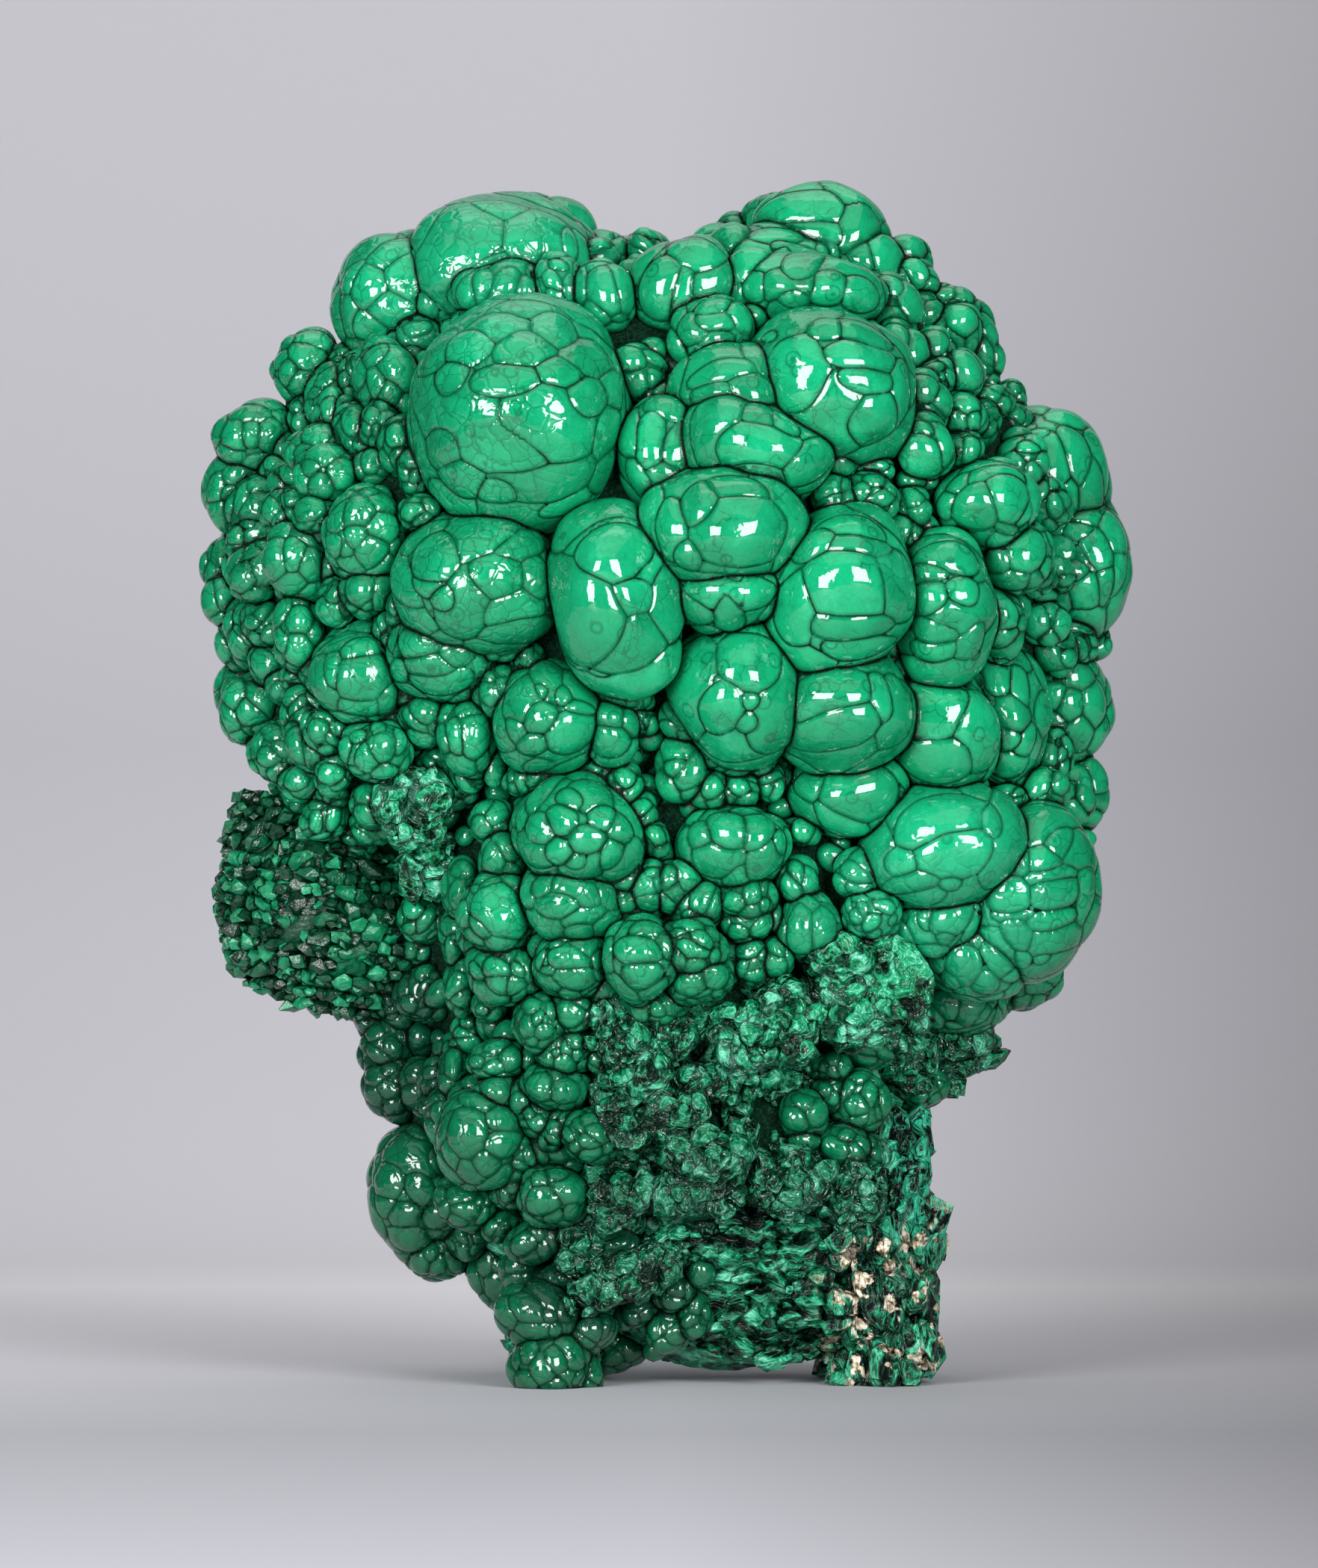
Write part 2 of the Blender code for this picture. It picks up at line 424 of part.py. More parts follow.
def cut_flat(mesh):
    """The feet end in one level plane, so the specimen stands by itself."""
    bm = bmesh.new()
    bm.from_mesh(mesh)
    edge = bmesh.ops.bisect_plane(
        bm,
        geom=bm.verts[:] + bm.edges[:] + bm.faces[:],
        plane_co=(0.0, 0.0, 0.0),
        plane_no=(0.0, 0.0, 1.0),
        clear_inner=True,
        dist=0.00001,
    )
    rim = [item for item in edge["geom_cut"] if isinstance(item, bmesh.types.BMEdge)]
    bmesh.ops.holes_fill(bm, edges=rim, sides=0)
    bmesh.ops.triangulate(bm, faces=bm.faces[:])
    bmesh.ops.recalc_face_normals(bm, faces=bm.faces[:])
    bm.to_mesh(mesh)
    bm.free()


def baked(body):
    """The object's mesh with its modifiers applied."""
    graph = bpy.context.evaluated_depsgraph_get()
    mesh = bpy.data.meshes.new_from_object(body.evaluated_get(graph))
    body.modifiers.clear()
    body.data = mesh
    return mesh


def specimen():
    """The one solid."""
    group = collection("malachite")
    mesh = lumps()
    body = bpy.data.objects.new("malachite_specimen", mesh)
    group.objects.link(body)
    skin = body.modifiers.new("skin", "REMESH")
    skin.mode = "VOXEL"
    skin.voxel_size = SKIN_STEP
    mesh = baked(body)
    keep_largest(mesh)
    facets = body.modifiers.new("facets", "DECIMATE")
    facets.ratio = TRIANGLES / (2.0 * len(mesh.polygons))
    mesh = baked(body)
    cut_flat(mesh)
    keep_largest(mesh)
    mesh.materials.clear()
    mesh.materials.append(malachite())
    return body


def keep_largest(mesh):
    """Drops the skins of closed hollows between the lumps, which are solid stone in fact."""
    bm = bmesh.new()
    bm.from_mesh(mesh)
    left = set(bm.verts)
    islands = []
    while left:
        seed = left.pop()
        island = [seed]
        queue = [seed]
        while queue:
            for link in queue.pop().link_edges:
                for vert in link.verts:
                    if vert in left:
                        left.discard(vert)
                        island.append(vert)
                        queue.append(vert)
        islands.append(island)
    islands.sort(key=len)
    for island in islands[:-1]:
        bmesh.ops.delete(bm, geom=island, context="VERTS")
    bm.to_mesh(mesh)
    bm.free()


cleared()
specimen()
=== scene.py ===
# %% [markdown]
# # Malachite specimen
# A botryoidal mass of green heads on a broken stem, as malachite grows in a cavity. Sculpting every
# head by hand would be slow, and one displaced ball would give no real creases. So every head is
# an ellipsoid with lower plates grown over it, crumbly grains make the spur, and ragged chunks make
# the foot. All of them are joined in one solid skin, which is then measured, so that the stone's
# bands, its dirt and the shade painted into its creases follow the real creases.

# %% imports and the imported frame
import json
import math
import random
from collections import namedtuple

import bmesh
import bpy
import numpy as np
from mathutils import Matrix, Vector, kdtree, noise

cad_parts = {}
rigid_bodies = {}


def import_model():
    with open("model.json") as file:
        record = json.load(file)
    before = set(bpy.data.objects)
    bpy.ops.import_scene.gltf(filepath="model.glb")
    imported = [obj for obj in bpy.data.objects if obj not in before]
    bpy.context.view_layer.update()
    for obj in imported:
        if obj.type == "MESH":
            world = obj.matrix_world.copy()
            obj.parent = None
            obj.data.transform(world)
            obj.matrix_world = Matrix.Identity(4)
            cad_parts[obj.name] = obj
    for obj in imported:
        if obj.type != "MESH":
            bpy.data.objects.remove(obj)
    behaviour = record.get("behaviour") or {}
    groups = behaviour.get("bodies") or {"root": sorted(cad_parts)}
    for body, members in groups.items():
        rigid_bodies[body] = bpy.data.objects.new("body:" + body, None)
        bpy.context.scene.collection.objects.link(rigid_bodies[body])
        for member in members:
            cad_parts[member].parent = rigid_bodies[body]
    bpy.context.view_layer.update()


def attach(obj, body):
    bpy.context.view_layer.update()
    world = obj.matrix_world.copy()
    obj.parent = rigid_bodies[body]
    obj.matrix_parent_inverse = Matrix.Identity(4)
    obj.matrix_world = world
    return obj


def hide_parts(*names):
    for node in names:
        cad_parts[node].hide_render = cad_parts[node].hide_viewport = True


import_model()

# %% sizes that every step shares
# Table sizes are in millimetres; the mesh is in metres.
MM = 0.001
FOOT_CUT = 3.0          # table height at which the feet are cut flat
BEHIND = 4.0            # depth past which a lobe belongs to the far side
CROWN_FROM = 195.0      # height from which a head belongs to the crown
FACE_FROM = 125.0       # height from which a head belongs to the face

# %% [markdown]
# Under the heads lies the core, the older stone that they grew on. It could be one sculpted lump,
# but a few overlapping ellipsoids are easy to place and to measure against. Each row gives a mass
# its x, y, z, half width, half depth and half height.

# %% core masses
CORES = {
    "head": (0, 2, 183, 90, 48, 69),
    "right_cheek": (66, 4, 122, 26, 30, 30),
    "left_cheek": (-62, 4, 148, 26, 32, 30),
    "neck": (2, 4, 112, 61, 44, 60),
    "stem": (-4, 4, 60, 53, 38, 42),
    "foot": (12, 2, 42, 40, 32, 37),
    "left_foot": (-23, 0, 14, 11, 31, 18),
    "right_foot": (46, 4, 30, 11, 29, 42),
}
SPUR = ((-80, 0, 110, 21, 17, 21), (-70, 2, 100, 20, 18, 15), (-86, 2, 122, 14, 13, 12))
SPUR_INSET = 1.2        # how far the grains' masses lie inside the spur

CORE_DETAIL = {
    "head": 6, "right_cheek": 5, "left_cheek": 5, "neck": 6, "stem": 6, "foot": 6, "left_foot": 5,
    "right_foot": 6,
}

# %% [markdown]
# Every head of the near side is its own row, since no two are alike and their places make the
# specimen recognisable. A head's row gives x, z, half width, half height, tilt in degrees and how
# far its middle stands out of the core. Its plates follow: x, z, half width, half height, tilt.

# %% heads and plates
HEADS = [
    # crown
    (
        (-38, 253, 20, 14.2, 4, 6), (-46, 258, 10.5, 8.5, 10), (-28, 257.5, 8.5, 8.5, 0),
        (-42, 252.3, 8, 3.2, 12), (-54, 258.5, 6, 4.2, 38), (-37, 263.5, 9, 3, 0),
        (-21.5, 255, 3.5, 6, 0),
    ),
    (
        (-61.5, 245, 12.2, 13, -25, 4), (-56.5, 248.5, 5.8, 5.5, 0), (-60.5, 240.5, 5.8, 4.4, 0),
        (-66, 246, 4.5, 5.5, 0), (-61.5, 253, 6.5, 3.4, 38), (-70.5, 240, 2.8, 5.5, -15),
        (-69.5, 247.5, 2.6, 4.6, -35), (-66.5, 236.5, 5, 3, -20),
    ),
    ((-31, 261.5, 13.5, 6.8, 0, -14), (-21.5, 262.5, 4.5, 4.6, 0), (-32, 266, 8, 2.6, 0)),
    ((-14, 252.5, 7.5, 7.5, -40, -6), (-17, 257, 3.5, 4, 0), (-10, 250, 4, 4, 0)),
    ((-13.8, 243.5, 5.4, 7.2, 5, 6), (-12.5, 245, 3.8, 5.2, 0), (-16.3, 239.5, 3, 3, 0)),
    ((-3, 253.8, 6.4, 6.5, 0, -12), (-3.5, 254.5, 3.8, 4.8, 0), (2, 255.5, 2.4, 4, 0)),
    (
        (4.5, 244.5, 10, 9.2, -8, 4), (-1.5, 244.5, 4, 6.8, -12), (3.8, 243, 2.8, 6, -15),
        (11.3, 246.5, 5.2, 4, 15),
    ),
    (
        (36, 260.5, 13.2, 8.8, -12, -2), (43.8, 261.5, 6.6, 4.8, -48), (31, 265, 9, 3, 0),
        (31, 259, 8.5, 2.8, -8),
    ),
    ((24.5, 253, 13.5, 6.2, 0, 5), (18.5, 254, 6, 4, 10), (30.5, 254, 8, 3.2, -15)),
    (
        (30.5, 244.6, 16.5, 7.2, -4, 10), (27.8, 244.6, 6.2, 5.8, 0), (36.6, 244.5, 3.8, 6.2, 0),
        (43, 243, 3.8, 5.8, -10), (19.3, 243.6, 3.8, 2.8, 0),
    ),
    (
        (44.5, 250.5, 7, 8.5, 35, 2), (45.6, 252, 3.2, 6.3, 35), (43, 247.5, 2.3, 4, 40),
        (38.6, 252.6, 3.6, 1.9, -38), (50, 249, 2.4, 5, 30),
    ),
    ((10.2, 234.8, 7.6, 6.8, 0, 6), (11, 238, 5, 2.4, 0), (11, 232.2, 4.6, 2.4, 0)),
    (
        (37, 222.5, 17, 14.5, -28, 8), (28.6, 224.3, 10.2, 6.8, -50), (23.3, 233, 4.4, 3.6, 0),
        (44.3, 214.8, 8.4, 5.8, -5), (43.3, 223.5, 7, 3, 0), (43.3, 229.6, 6.6, 2.8, -5),
        (35, 235, 4, 2.3, 0), (43, 234.7, 6, 2.3, -15), (52, 221, 2.6, 7.6, 5),
    ),
    ((-49.5, 243.8, 5.4, 5.4, 35, 13),), ((-35.5, 244.8, 9.8, 5.2, 0, 13),),
    ((-23, 245.8, 4.6, 5.6, 0, 11),), ((-8, 234, 4.8, 5, 0, -8),), ((-0.2, 228, 4.3, 4, 0, -4),),
    ((-4, 222.3, 4, 2.8, 0, -2),), ((10.7, 256.5, 5.2, 4.4, 20, -10),),
    ((15.5, 260.5, 4, 3.4, 20, -14),), ((23.3, 264, 5.3, 4.7, 0, -12),),
    # globe
    (
        (-31.5, 216, 21.8, 24.6, 0, 3), (-29, 212.5, 16, 9, 15), (-27, 201.5, 14, 4.6, 14),
        (-25, 194.6, 12, 3.4, 14), (-44.5, 203, 5, 4, 0), (-45.5, 196, 6, 4.5, -20),
        (-47.5, 209.5, 5, 5.5, 30), (-35.5, 223.5, 8, 4, 10), (-47, 223, 4.8, 4.6, 30),
        (-22.5, 225.5, 5.5, 3.5, 0), (-17.5, 219.5, 4.5, 5, -50), (-12.5, 212, 3.5, 6, -10),
        (-29.5, 231, 7, 4.4, 0), (-44, 231, 6, 3.4, 20), (-37, 235.8, 8, 2.8, 5),
        (-23.5, 235.3, 4.5, 3.5, -15), (-17, 229, 4.5, 5, 30), (-13, 203.5, 3, 5.5, -25),
        (-50.5, 228, 4.5, 5, 40), (-30, 240, 9, 2, 0), (-12, 222, 2.6, 5, 15), (-37, 199.5, 5, 3, 0),
    ),
    # left column
    (
        (-60, 224, 6, 9, 20, 2), (-57, 228.5, 3.4, 5, 20), (-61, 221, 2.6, 3.6, 0),
        (-57, 218, 3.2, 3.5, 0),
    ),
    ((-67, 213.5, 4.8, 6, 10, 0), (-65.3, 212, 2.8, 3, 0), (-68.3, 217, 2.5, 3, 0)),
    ((-58.5, 210.5, 4, 6, 0, 3), (-59, 213, 2.8, 2.8, 0), (-58, 207, 2.3, 2.4, 0)),
    ((-54, 204, 3.6, 5, 20, 3), (-53, 213, 3, 5, -20)),
    (
        (-80.5, 229.5, 6.5, 8.2, -15, 0), (-80, 232.5, 4.5, 3.8, 0), (-80.5, 225.3, 4.5, 3.4, 0),
        (-84, 228, 2.6, 4, 0),
    ),
    (
        (-74, 221.5, 6, 6.5, 20, 2), (-72.5, 222.5, 3, 3, 0), (-75.5, 219.5, 2.2, 2.2, 0),
        (-73, 218.8, 2, 2, 0), (-74, 226.5, 3.5, 2.4, 20), (-77, 217.5, 2.5, 2.5, 0),
    ),
    (
        (-92, 213, 8, 7, 10, 0), (-92.3, 213, 2.8, 3, 0), (-96.3, 212.5, 2.8, 4, 0),
        (-93, 217.8, 5, 2.2, 0), (-87.3, 213.5, 3.6, 3.6, 30),
    ),
    ((-76, 210.5, 6.8, 4.2, 20, 4), (-76, 211.5, 6, 2, 22)),
    (
        (-96, 201, 6.2, 8.5, 0, -2), (-95.3, 205, 3.5, 2.8, 0), (-96.5, 200.5, 3, 2.4, 0),
        (-99.8, 202, 2, 4.5, 0), (-98.5, 195.8, 3, 3.6, 0),
    ),
    (
        (-89.8, 198, 6.2, 6.4, 0, 4), (-89.5, 196.2, 4.5, 4, 0), (-89, 201.8, 4.5, 2, 5),
        (-93.6, 199, 2.2, 4, 10),
    ),
    ((-93.5, 186, 5, 5.2, 0, 2), (-91.5, 190, 4, 2.6, -10)),
    (
        (-81.3, 184.5, 7.8, 7, -10, 5), (-86.8, 184.5, 3, 4.5, 0), (-81.5, 186, 3, 4.5, -10),
        (-77.3, 183, 3.4, 4.4, 0), (-82, 179.7, 5, 2.4, 0),
    ),
    (
        (-91, 171.5, 5.8, 8.2, 0, 3), (-92, 174.5, 2.8, 3.5, 0), (-87.5, 172, 2.4, 6.5, 0),
        (-91.5, 167, 3, 4.3, 15),
    ),
    ((-80, 169, 5, 7.9, 0, 6), (-79.5, 172, 4.2, 3.5, 0), (-80, 165, 4.6, 4, 0)),
    ((-70.5, 230.5, 4.8, 4, -20, 4),), ((-64, 206.5, 3.8, 3.4, 0, 0),),
    ((-53.4, 194.6, 3.5, 3.6, 0, 5),), ((-69.3, 219, 2.6, 2.6, 0, 3),),
    ((-82.5, 219.5, 2.8, 2.8, 0, 0),), ((-83, 210.5, 4, 4.2, 0, 4),), ((-74.5, 204.8, 5.5, 5.4, 0, 6),),
    ((-82, 204, 2.4, 2.4, 0, 5),), ((-82, 197.5, 2.3, 3.9, 0, 6),), ((-76.8, 195, 4.4, 3.8, 20, 7),),
    ((-75, 190.5, 2.4, 2.4, 0, 5),), ((-99.5, 186, 3.8, 6, -10, -6),), ((-73.4, 183, 2, 3.4, 0, 4),),
    ((-99, 177.3, 4.4, 5, 0, -2),), ((-97, 167.5, 3.8, 6, 10, -2),), ((-88.6, 162.3, 3.6, 2.6, 0, 3),),
    ((-80.5, 158.8, 3.8, 3, 0, 4),), ((-72, 175.6, 3.4, 4.6, 0, 6),),
    # cheek and chin
    (
        (-65.5, 190.3, 7.6, 9.8, 0, 5), (-67, 196, 4, 3.6, 0), (-60.8, 192, 3.2, 3.4, 0),
        (-67.5, 190.3, 3, 3, 0), (-64, 186, 3.8, 4, 0), (-71, 189, 2, 5, 0),
        (-61.5, 197.7, 3.2, 2.2, 0),
    ),
    ((-65.3, 178, 5.6, 5, 15, 5), (-67.3, 178.5, 3.7, 3.9, 0), (-61.5, 177, 2.6, 4, 0)),
    (
        (-66.5, 160, 8.8, 8.6, 0, 6), (-66, 159.5, 6, 5.4, 0), (-72.8, 160, 2.8, 5, 0),
        (-67, 153.6, 6, 2.2, -5), (-60.5, 154.8, 3, 2.4, 30), (-66.5, 165.8, 4, 2.4, 0),
    ),
    (
        (-40, 180, 16, 13.5, 0, 4), (-50, 185.5, 5.4, 6, 30), (-31.5, 187.6, 6.5, 3.1, 20),
        (-37, 180, 6.5, 5.4, 0), (-27.6, 180, 3.2, 5, 0), (-47, 175.8, 4, 3.4, 0),
        (-33.5, 172.8, 9, 3.8, 5), (-50.5, 179, 4.6, 2.6, 0),
    ),
    (
        (-48, 165, 9.8, 9, 0, 3), (-54, 167.3, 3.8, 3.8, 0), (-45.5, 164.5, 4.2, 3.2, 20),
        (-47.5, 169, 3.4, 2.4, 0), (-52, 161, 5, 3, -10), (-40.5, 168.5, 3.8, 2.8, -20),
        (-49.5, 157.3, 6, 2.6, 0),
    ),
    ((-56.4, 155.3, 2.3, 2.4, 0, 5),), ((-57.2, 183.3, 2, 2.6, 0, 3),), ((-57, 173.7, 3.2, 3.6, 0, 5),),
    ((-51.5, 172.8, 3.5, 3.2, 0, 6),), ((-60.3, 168.5, 3, 4.6, 30, 3),), ((-36, 166.5, 5, 3.4, 20, 4),),
    # jaw
    ((-53.3, 150.5, 4.4, 4.4, 20, 5), (-52.5, 151.7, 3.2, 3, 0)),
    (
        (-43.7, 147, 5.6, 6.6, 0, 5), (-42, 147, 3.3, 4.8, 0), (-46.6, 146, 2.2, 3.8, 0),
        (-43.3, 152.5, 2.8, 2, 0),
    ),
    ((-91.3, 152.5, 8, 6.6, 20, 3),), ((-95.5, 157, 5.5, 6.5, 10, -6),),
    ((-85.3, 142.5, 6.6, 6.2, 0, 4),), ((-75, 147.8, 4.3, 4.2, 0, 6),), ((-80.8, 136.5, 4.6, 4, 0, 4),),
    ((-73.3, 138.8, 3.6, 4.8, 0, 5),), ((-64.2, 143.3, 6.6, 5.8, -15, 7),),
    ((-55, 147.3, 3.8, 2.8, -10, 4),), ((-44, 139.3, 3.4, 4.4, 20, 5),),
    ((-37.4, 140.3, 2.4, 3.6, 0, 6),), ((-37, 156.3, 4.6, 4.6, 40, 4),),
    ((-30.5, 162.7, 3.8, 2.8, 30, 2),),
    # berry clusters
    (
        (-25, 150.5, 10.3, 10.3, 0, 6), (-27.5, 151, 3.6, 4, 0), (-20.3, 146, 4.7, 4.8, 0),
        (-26, 157.2, 3.5, 2.4, 20), (-21.5, 156, 3, 2.4, -10), (-29.2, 144, 3.2, 2.2, 0),
        (-33.3, 150, 2.2, 5, 10), (-17.8, 152.5, 3, 2.6, 0),
    ),
    ((-12, 147.5, 5.4, 6.6, 0, 6), (-12, 150.3, 4, 3.6, 0), (-12, 143.8, 4.2, 3.6, 0)),
    (
        (-18.3, 125, 11.8, 9.8, -10, 8), (-17.8, 124, 3.7, 2.9, 0), (-23, 128.5, 3, 2.8, 0),
        (-14, 129, 3, 3, 0), (-10, 126.3, 3, 3.6, 0), (-12.5, 120.5, 3.2, 3.2, 0),
        (-19.5, 119, 2.8, 2.3, 0), (-24.5, 121.5, 3, 2.6, 0), (-19, 133, 4, 2, 0),
        (-28, 126, 2.4, 3.6, 0),
    ),
    (
        (-20.5, 110.5, 9.6, 7.4, -20, 7), (-18.6, 113, 6.5, 3, -22), (-23.5, 108.8, 5, 3.1, -5),
        (-16.5, 106, 6, 2.2, 15), (-27.2, 114, 2.2, 2.6, 0),
    ),
    ((-27.8, 137.5, 6.6, 3.8, -5, 7),), ((-14.7, 138, 4.2, 2.4, -5, 6),),
    ((-8.5, 135.6, 3.4, 3.8, 0, 6),), ((-4.5, 129.8, 3.1, 3.3, 0, 5),),
    ((-2.2, 124.5, 2.8, 3.3, 0, 5),), ((-4, 113.7, 3, 5.2, -10, 4),), ((-9, 116, 3.2, 3.8, -15, 5),),
    ((-9.5, 110.5, 3.4, 3, 0, 5),),
    # worm
    (
        (-10.3, 176.5, 11.6, 18.2, 10, 8), (-12.3, 185, 7.6, 7.6, 0), (-10, 175.3, 9.5, 3.8, 14),
        (-7.3, 165.5, 8.6, 6.2, 12), (-17.5, 173, 4.4, 5, 0), (-8, 159.4, 7.6, 2, -5),
    ),
    ((-8.8, 156, 6.2, 3.4, -12, 3),),
    # face
    (
        (12.5, 192, 16.3, 11.6, 5, 10), (17.5, 191.2, 10.6, 7.4, 6), (0.3, 192, 3.4, 7, 0),
        (8, 197.8, 4.6, 4, 30), (17, 200.3, 8, 2.6, -5), (4.2, 186, 3, 3.2, 0),
    ),
    ((13.3, 177.8, 11.3, 6.8, 4, 10), (13.3, 178.3, 9.8, 5.2, 3)),
    (
        (20.5, 209, 15.5, 8.6, -12, 9), (19.8, 209.8, 10, 5.8, -8), (32.3, 205.5, 5.2, 8.5, 0),
        (25.8, 215.3, 4, 2.3, -30),
    ),
    (
        (15.5, 221, 12, 9.2, -8, 7), (11, 218.5, 5, 4, 0), (19.6, 219.5, 6, 5.4, -10),
        (13.5, 226.3, 7, 2.4, 8),
    ),
    (
        (-0.8, 208.5, 7, 11.5, -5, 3), (1, 218.5, 4.5, 2.8, 0), (-3.6, 211, 2.8, 6, 0),
        (-5, 201, 2.5, 4.8, 0), (2, 203, 3.8, 2.8, 0),
    ),
    ((7.5, 203.5, 4.4, 3, 42, 7),), ((4.2, 210.3, 5.6, 6.2, 30, 5),),
    # right shoulder
    ((65.5, 216.8, 4.6, 4.6, -10, 4), (64, 216.5, 2.8, 3.4, 0), (67.8, 217, 2, 3.4, 10)),
    ((65.5, 210, 4.4, 3.8, 0, 4), (63.4, 210, 2.2, 3.3, 0), (67.3, 210, 2.4, 3.2, 0)),
    ((51.8, 231.5, 4.4, 6.6, 25, 4),), ((50, 240.5, 4, 4.2, -30, 3),),
    ((56.8, 240.7, 4.4, 5.6, 20, 5),), ((58.6, 231, 4, 5.2, 5, 6),), ((64.6, 236.3, 5.2, 6.2, -15, 5),),
    ((64.6, 225.8, 5, 5.2, -35, 6),), ((70.5, 233, 4.2, 8.4, 15, -2),), ((72, 225, 3, 5, 10, 0),),
    ((56, 249.3, 5.6, 4.2, -15, 2),), ((54, 254.8, 5.4, 3.8, -20, -4),), ((65, 244.3, 6, 3.2, -28, 0),),
    ((69, 240.5, 3.5, 6, 40, -6),), ((57.3, 220, 4.6, 6.2, 22, 6),), ((57.2, 210.7, 5, 5.6, 15, 7),),
    ((70.8, 215.5, 2.6, 5, 0, 3),), ((72, 221.5, 2.8, 2.8, 0, 2),), ((39, 208, 3.6, 6, 18, 4),),
    ((46.4, 204.8, 4, 2.9, 0, 4),), ((45.3, 198.2, 5.3, 4.4, 0, 5),), ((54.6, 203, 2.5, 2.5, 0, 3),),
    ((54.6, 196.6, 3.3, 4.2, 0, 3),), ((77, 216.6, 3.8, 3.7, 0, 0),), ((77.5, 222, 4.2, 3.8, -30, -4),),
    # right rim
    (
        (86.5, 206, 12, 13.5, 35, 2), (86, 206.5, 4.4, 7, 15), (81.5, 212.3, 4, 1.9, 10),
        (80.8, 208.7, 3.6, 1.8, -5), (92, 209.5, 3, 6.5, 30), (96.3, 203, 2.6, 6, 22),
        (90, 199.7, 3, 4.5, 0), (84, 200.6, 3, 4.2, 25),
    ),
    (
        (70.6, 197.3, 9.6, 8, 5, 7), (68, 196.5, 5.4, 5.2, 0), (75.3, 198.3, 5, 5.4, 0),
        (71.5, 203.6, 7, 2, 5),
    ),
    (
        (77, 185.8, 7.6, 6.6, 10, 6), (79.8, 187.5, 4.6, 4.5, 0), (73.4, 186, 3.3, 3.6, 0),
        (76.5, 180.7, 4.5, 2.4, 0),
    ),
    (
        (93.5, 184.5, 10.8, 15.5, -8, 1), (87.5, 188.5, 3.5, 3.7, 0), (90, 183, 3.8, 3.3, 0),
        (87, 177.6, 3.2, 4.2, 0), (93, 178, 4, 5.5, 10), (96.7, 189, 2.8, 6, 10),
        (100.4, 192, 2.6, 7.5, 8), (101.3, 184, 2.2, 6.5, -5), (93, 193.5, 4, 2.4, -30),
        (97.5, 179.5, 2.2, 6, -10),
    ),
    (
        (90.3, 153, 9.8, 11.8, 0, 1), (92.5, 160, 4, 4, 0), (86.3, 160, 2.6, 2.6, 0),
        (86, 154.5, 3, 3.3, 0), (90.6, 152.3, 3.4, 3.8, -20), (97, 152.5, 3, 5.5, 5),
        (93, 146, 4, 3.8, 0), (86.6, 147, 3.8, 3.6, 0),
    ),
    (
        (91.5, 134.5, 7.4, 8, 0, 0), (91, 136, 5, 4.8, 0), (90.5, 129.6, 5, 2.3, 0),
        (97.3, 137, 2.3, 4.8, 0),
    ),
    ((82.6, 181, 3.4, 3.2, 40, 6),), ((84.5, 170.5, 5, 4.2, -20, 4),), ((90.5, 167.8, 4, 3.2, -15, 2),),
    ((95.6, 167.2, 3.6, 3.6, 0, -2),), ((78.3, 174.7, 2.6, 3.2, 0, 2),), ((84, 127, 4, 3, -30, -2),),
    ((92.8, 121.5, 2.8, 4.4, 0, -6),),
    # right centre
    (
        (38, 178, 14.6, 16, -8, 9), (42, 178.5, 10.2, 6.4, 5), (42, 169.6, 9, 2.7, 3),
        (44, 164.6, 7.2, 2.2, 3), (27.3, 172, 4.6, 7, -35), (43.5, 187.3, 8, 2.2, -8),
        (41, 191.3, 7, 2.6, -8), (33, 187.8, 5, 3, 35),
    ),
    (
        (61, 175, 9.6, 14.2, 6, 8), (58, 177, 4.4, 3.8, 0), (66, 177.6, 3.4, 4.2, 40),
        (59.5, 170.5, 5.6, 3.2, 0), (59, 165.3, 5, 2.4, 0), (68, 168.3, 2.6, 6, 0),
        (63, 186, 6, 2.6, -25), (57, 183, 4, 2, 0),
    ),
    ((73.5, 171.7, 4.8, 8, 18, 5), (73.8, 174.8, 3.2, 5, 25)),
    ((59.6, 148, 10.6, 12.3, 10, 9), (58.5, 152, 8.6, 6.6, 20), (60, 141, 10, 4.6, 18)),
    (
        (74.3, 151.5, 8.4, 15, 3, 5), (73.5, 161.5, 3.6, 5, 5), (77.3, 152, 4.4, 3.8, 20),
        (70.4, 153.6, 2.4, 2, 0), (75, 146.5, 5.5, 2.7, 10), (76, 141, 5, 2.8, 15),
        (79.3, 158, 1.9, 5, -10), (68, 158.8, 2.6, 2, 0),
    ),
    (
        (38.7, 152.3, 13.8, 11.2, -6, 11), (36, 156, 10.4, 5.2, 8), (48.5, 154.8, 3.2, 6.8, 8),
        (37, 147.3, 10.4, 4.6, 8),
    ),
    ((40, 134.3, 11.6, 8, 0, 9), (42.3, 134, 8.4, 5.8, 0), (31, 136, 3.6, 3.4, 0)),
    ((56.3, 161.2, 4.8, 2.4, 4, 6),), ((27.4, 146.3, 3.2, 3, 0, 6),), ((22.8, 136.5, 2.6, 4.2, 0, 6),),
    # knobs
    (
        (16.5, 156, 11.6, 13.6, 8, 8), (18.7, 163.4, 8.4, 6.2, -5), (10, 153, 6, 5.4, -10),
        (9.5, 158.6, 2.4, 2, 0), (18.6, 153.8, 3, 1.9, 0), (19.3, 149.5, 4, 2.3, 0),
    ),
    (
        (15.5, 121.8, 11, 7.6, 0, 2), (13.6, 126.2, 3.9, 3.7, 0), (20.5, 125, 3.6, 4.6, -10),
        (11, 119, 6, 3.3, -5), (7.5, 124.6, 2.6, 2.6, 0), (24.5, 122.3, 2.5, 3.5, 0),
    ),
    ((32, 104.4, 5.8, 6.2, 0, 5), (30, 104.5, 3, 5.2, -10), (35.6, 105, 3, 4.4, 0)),
    (
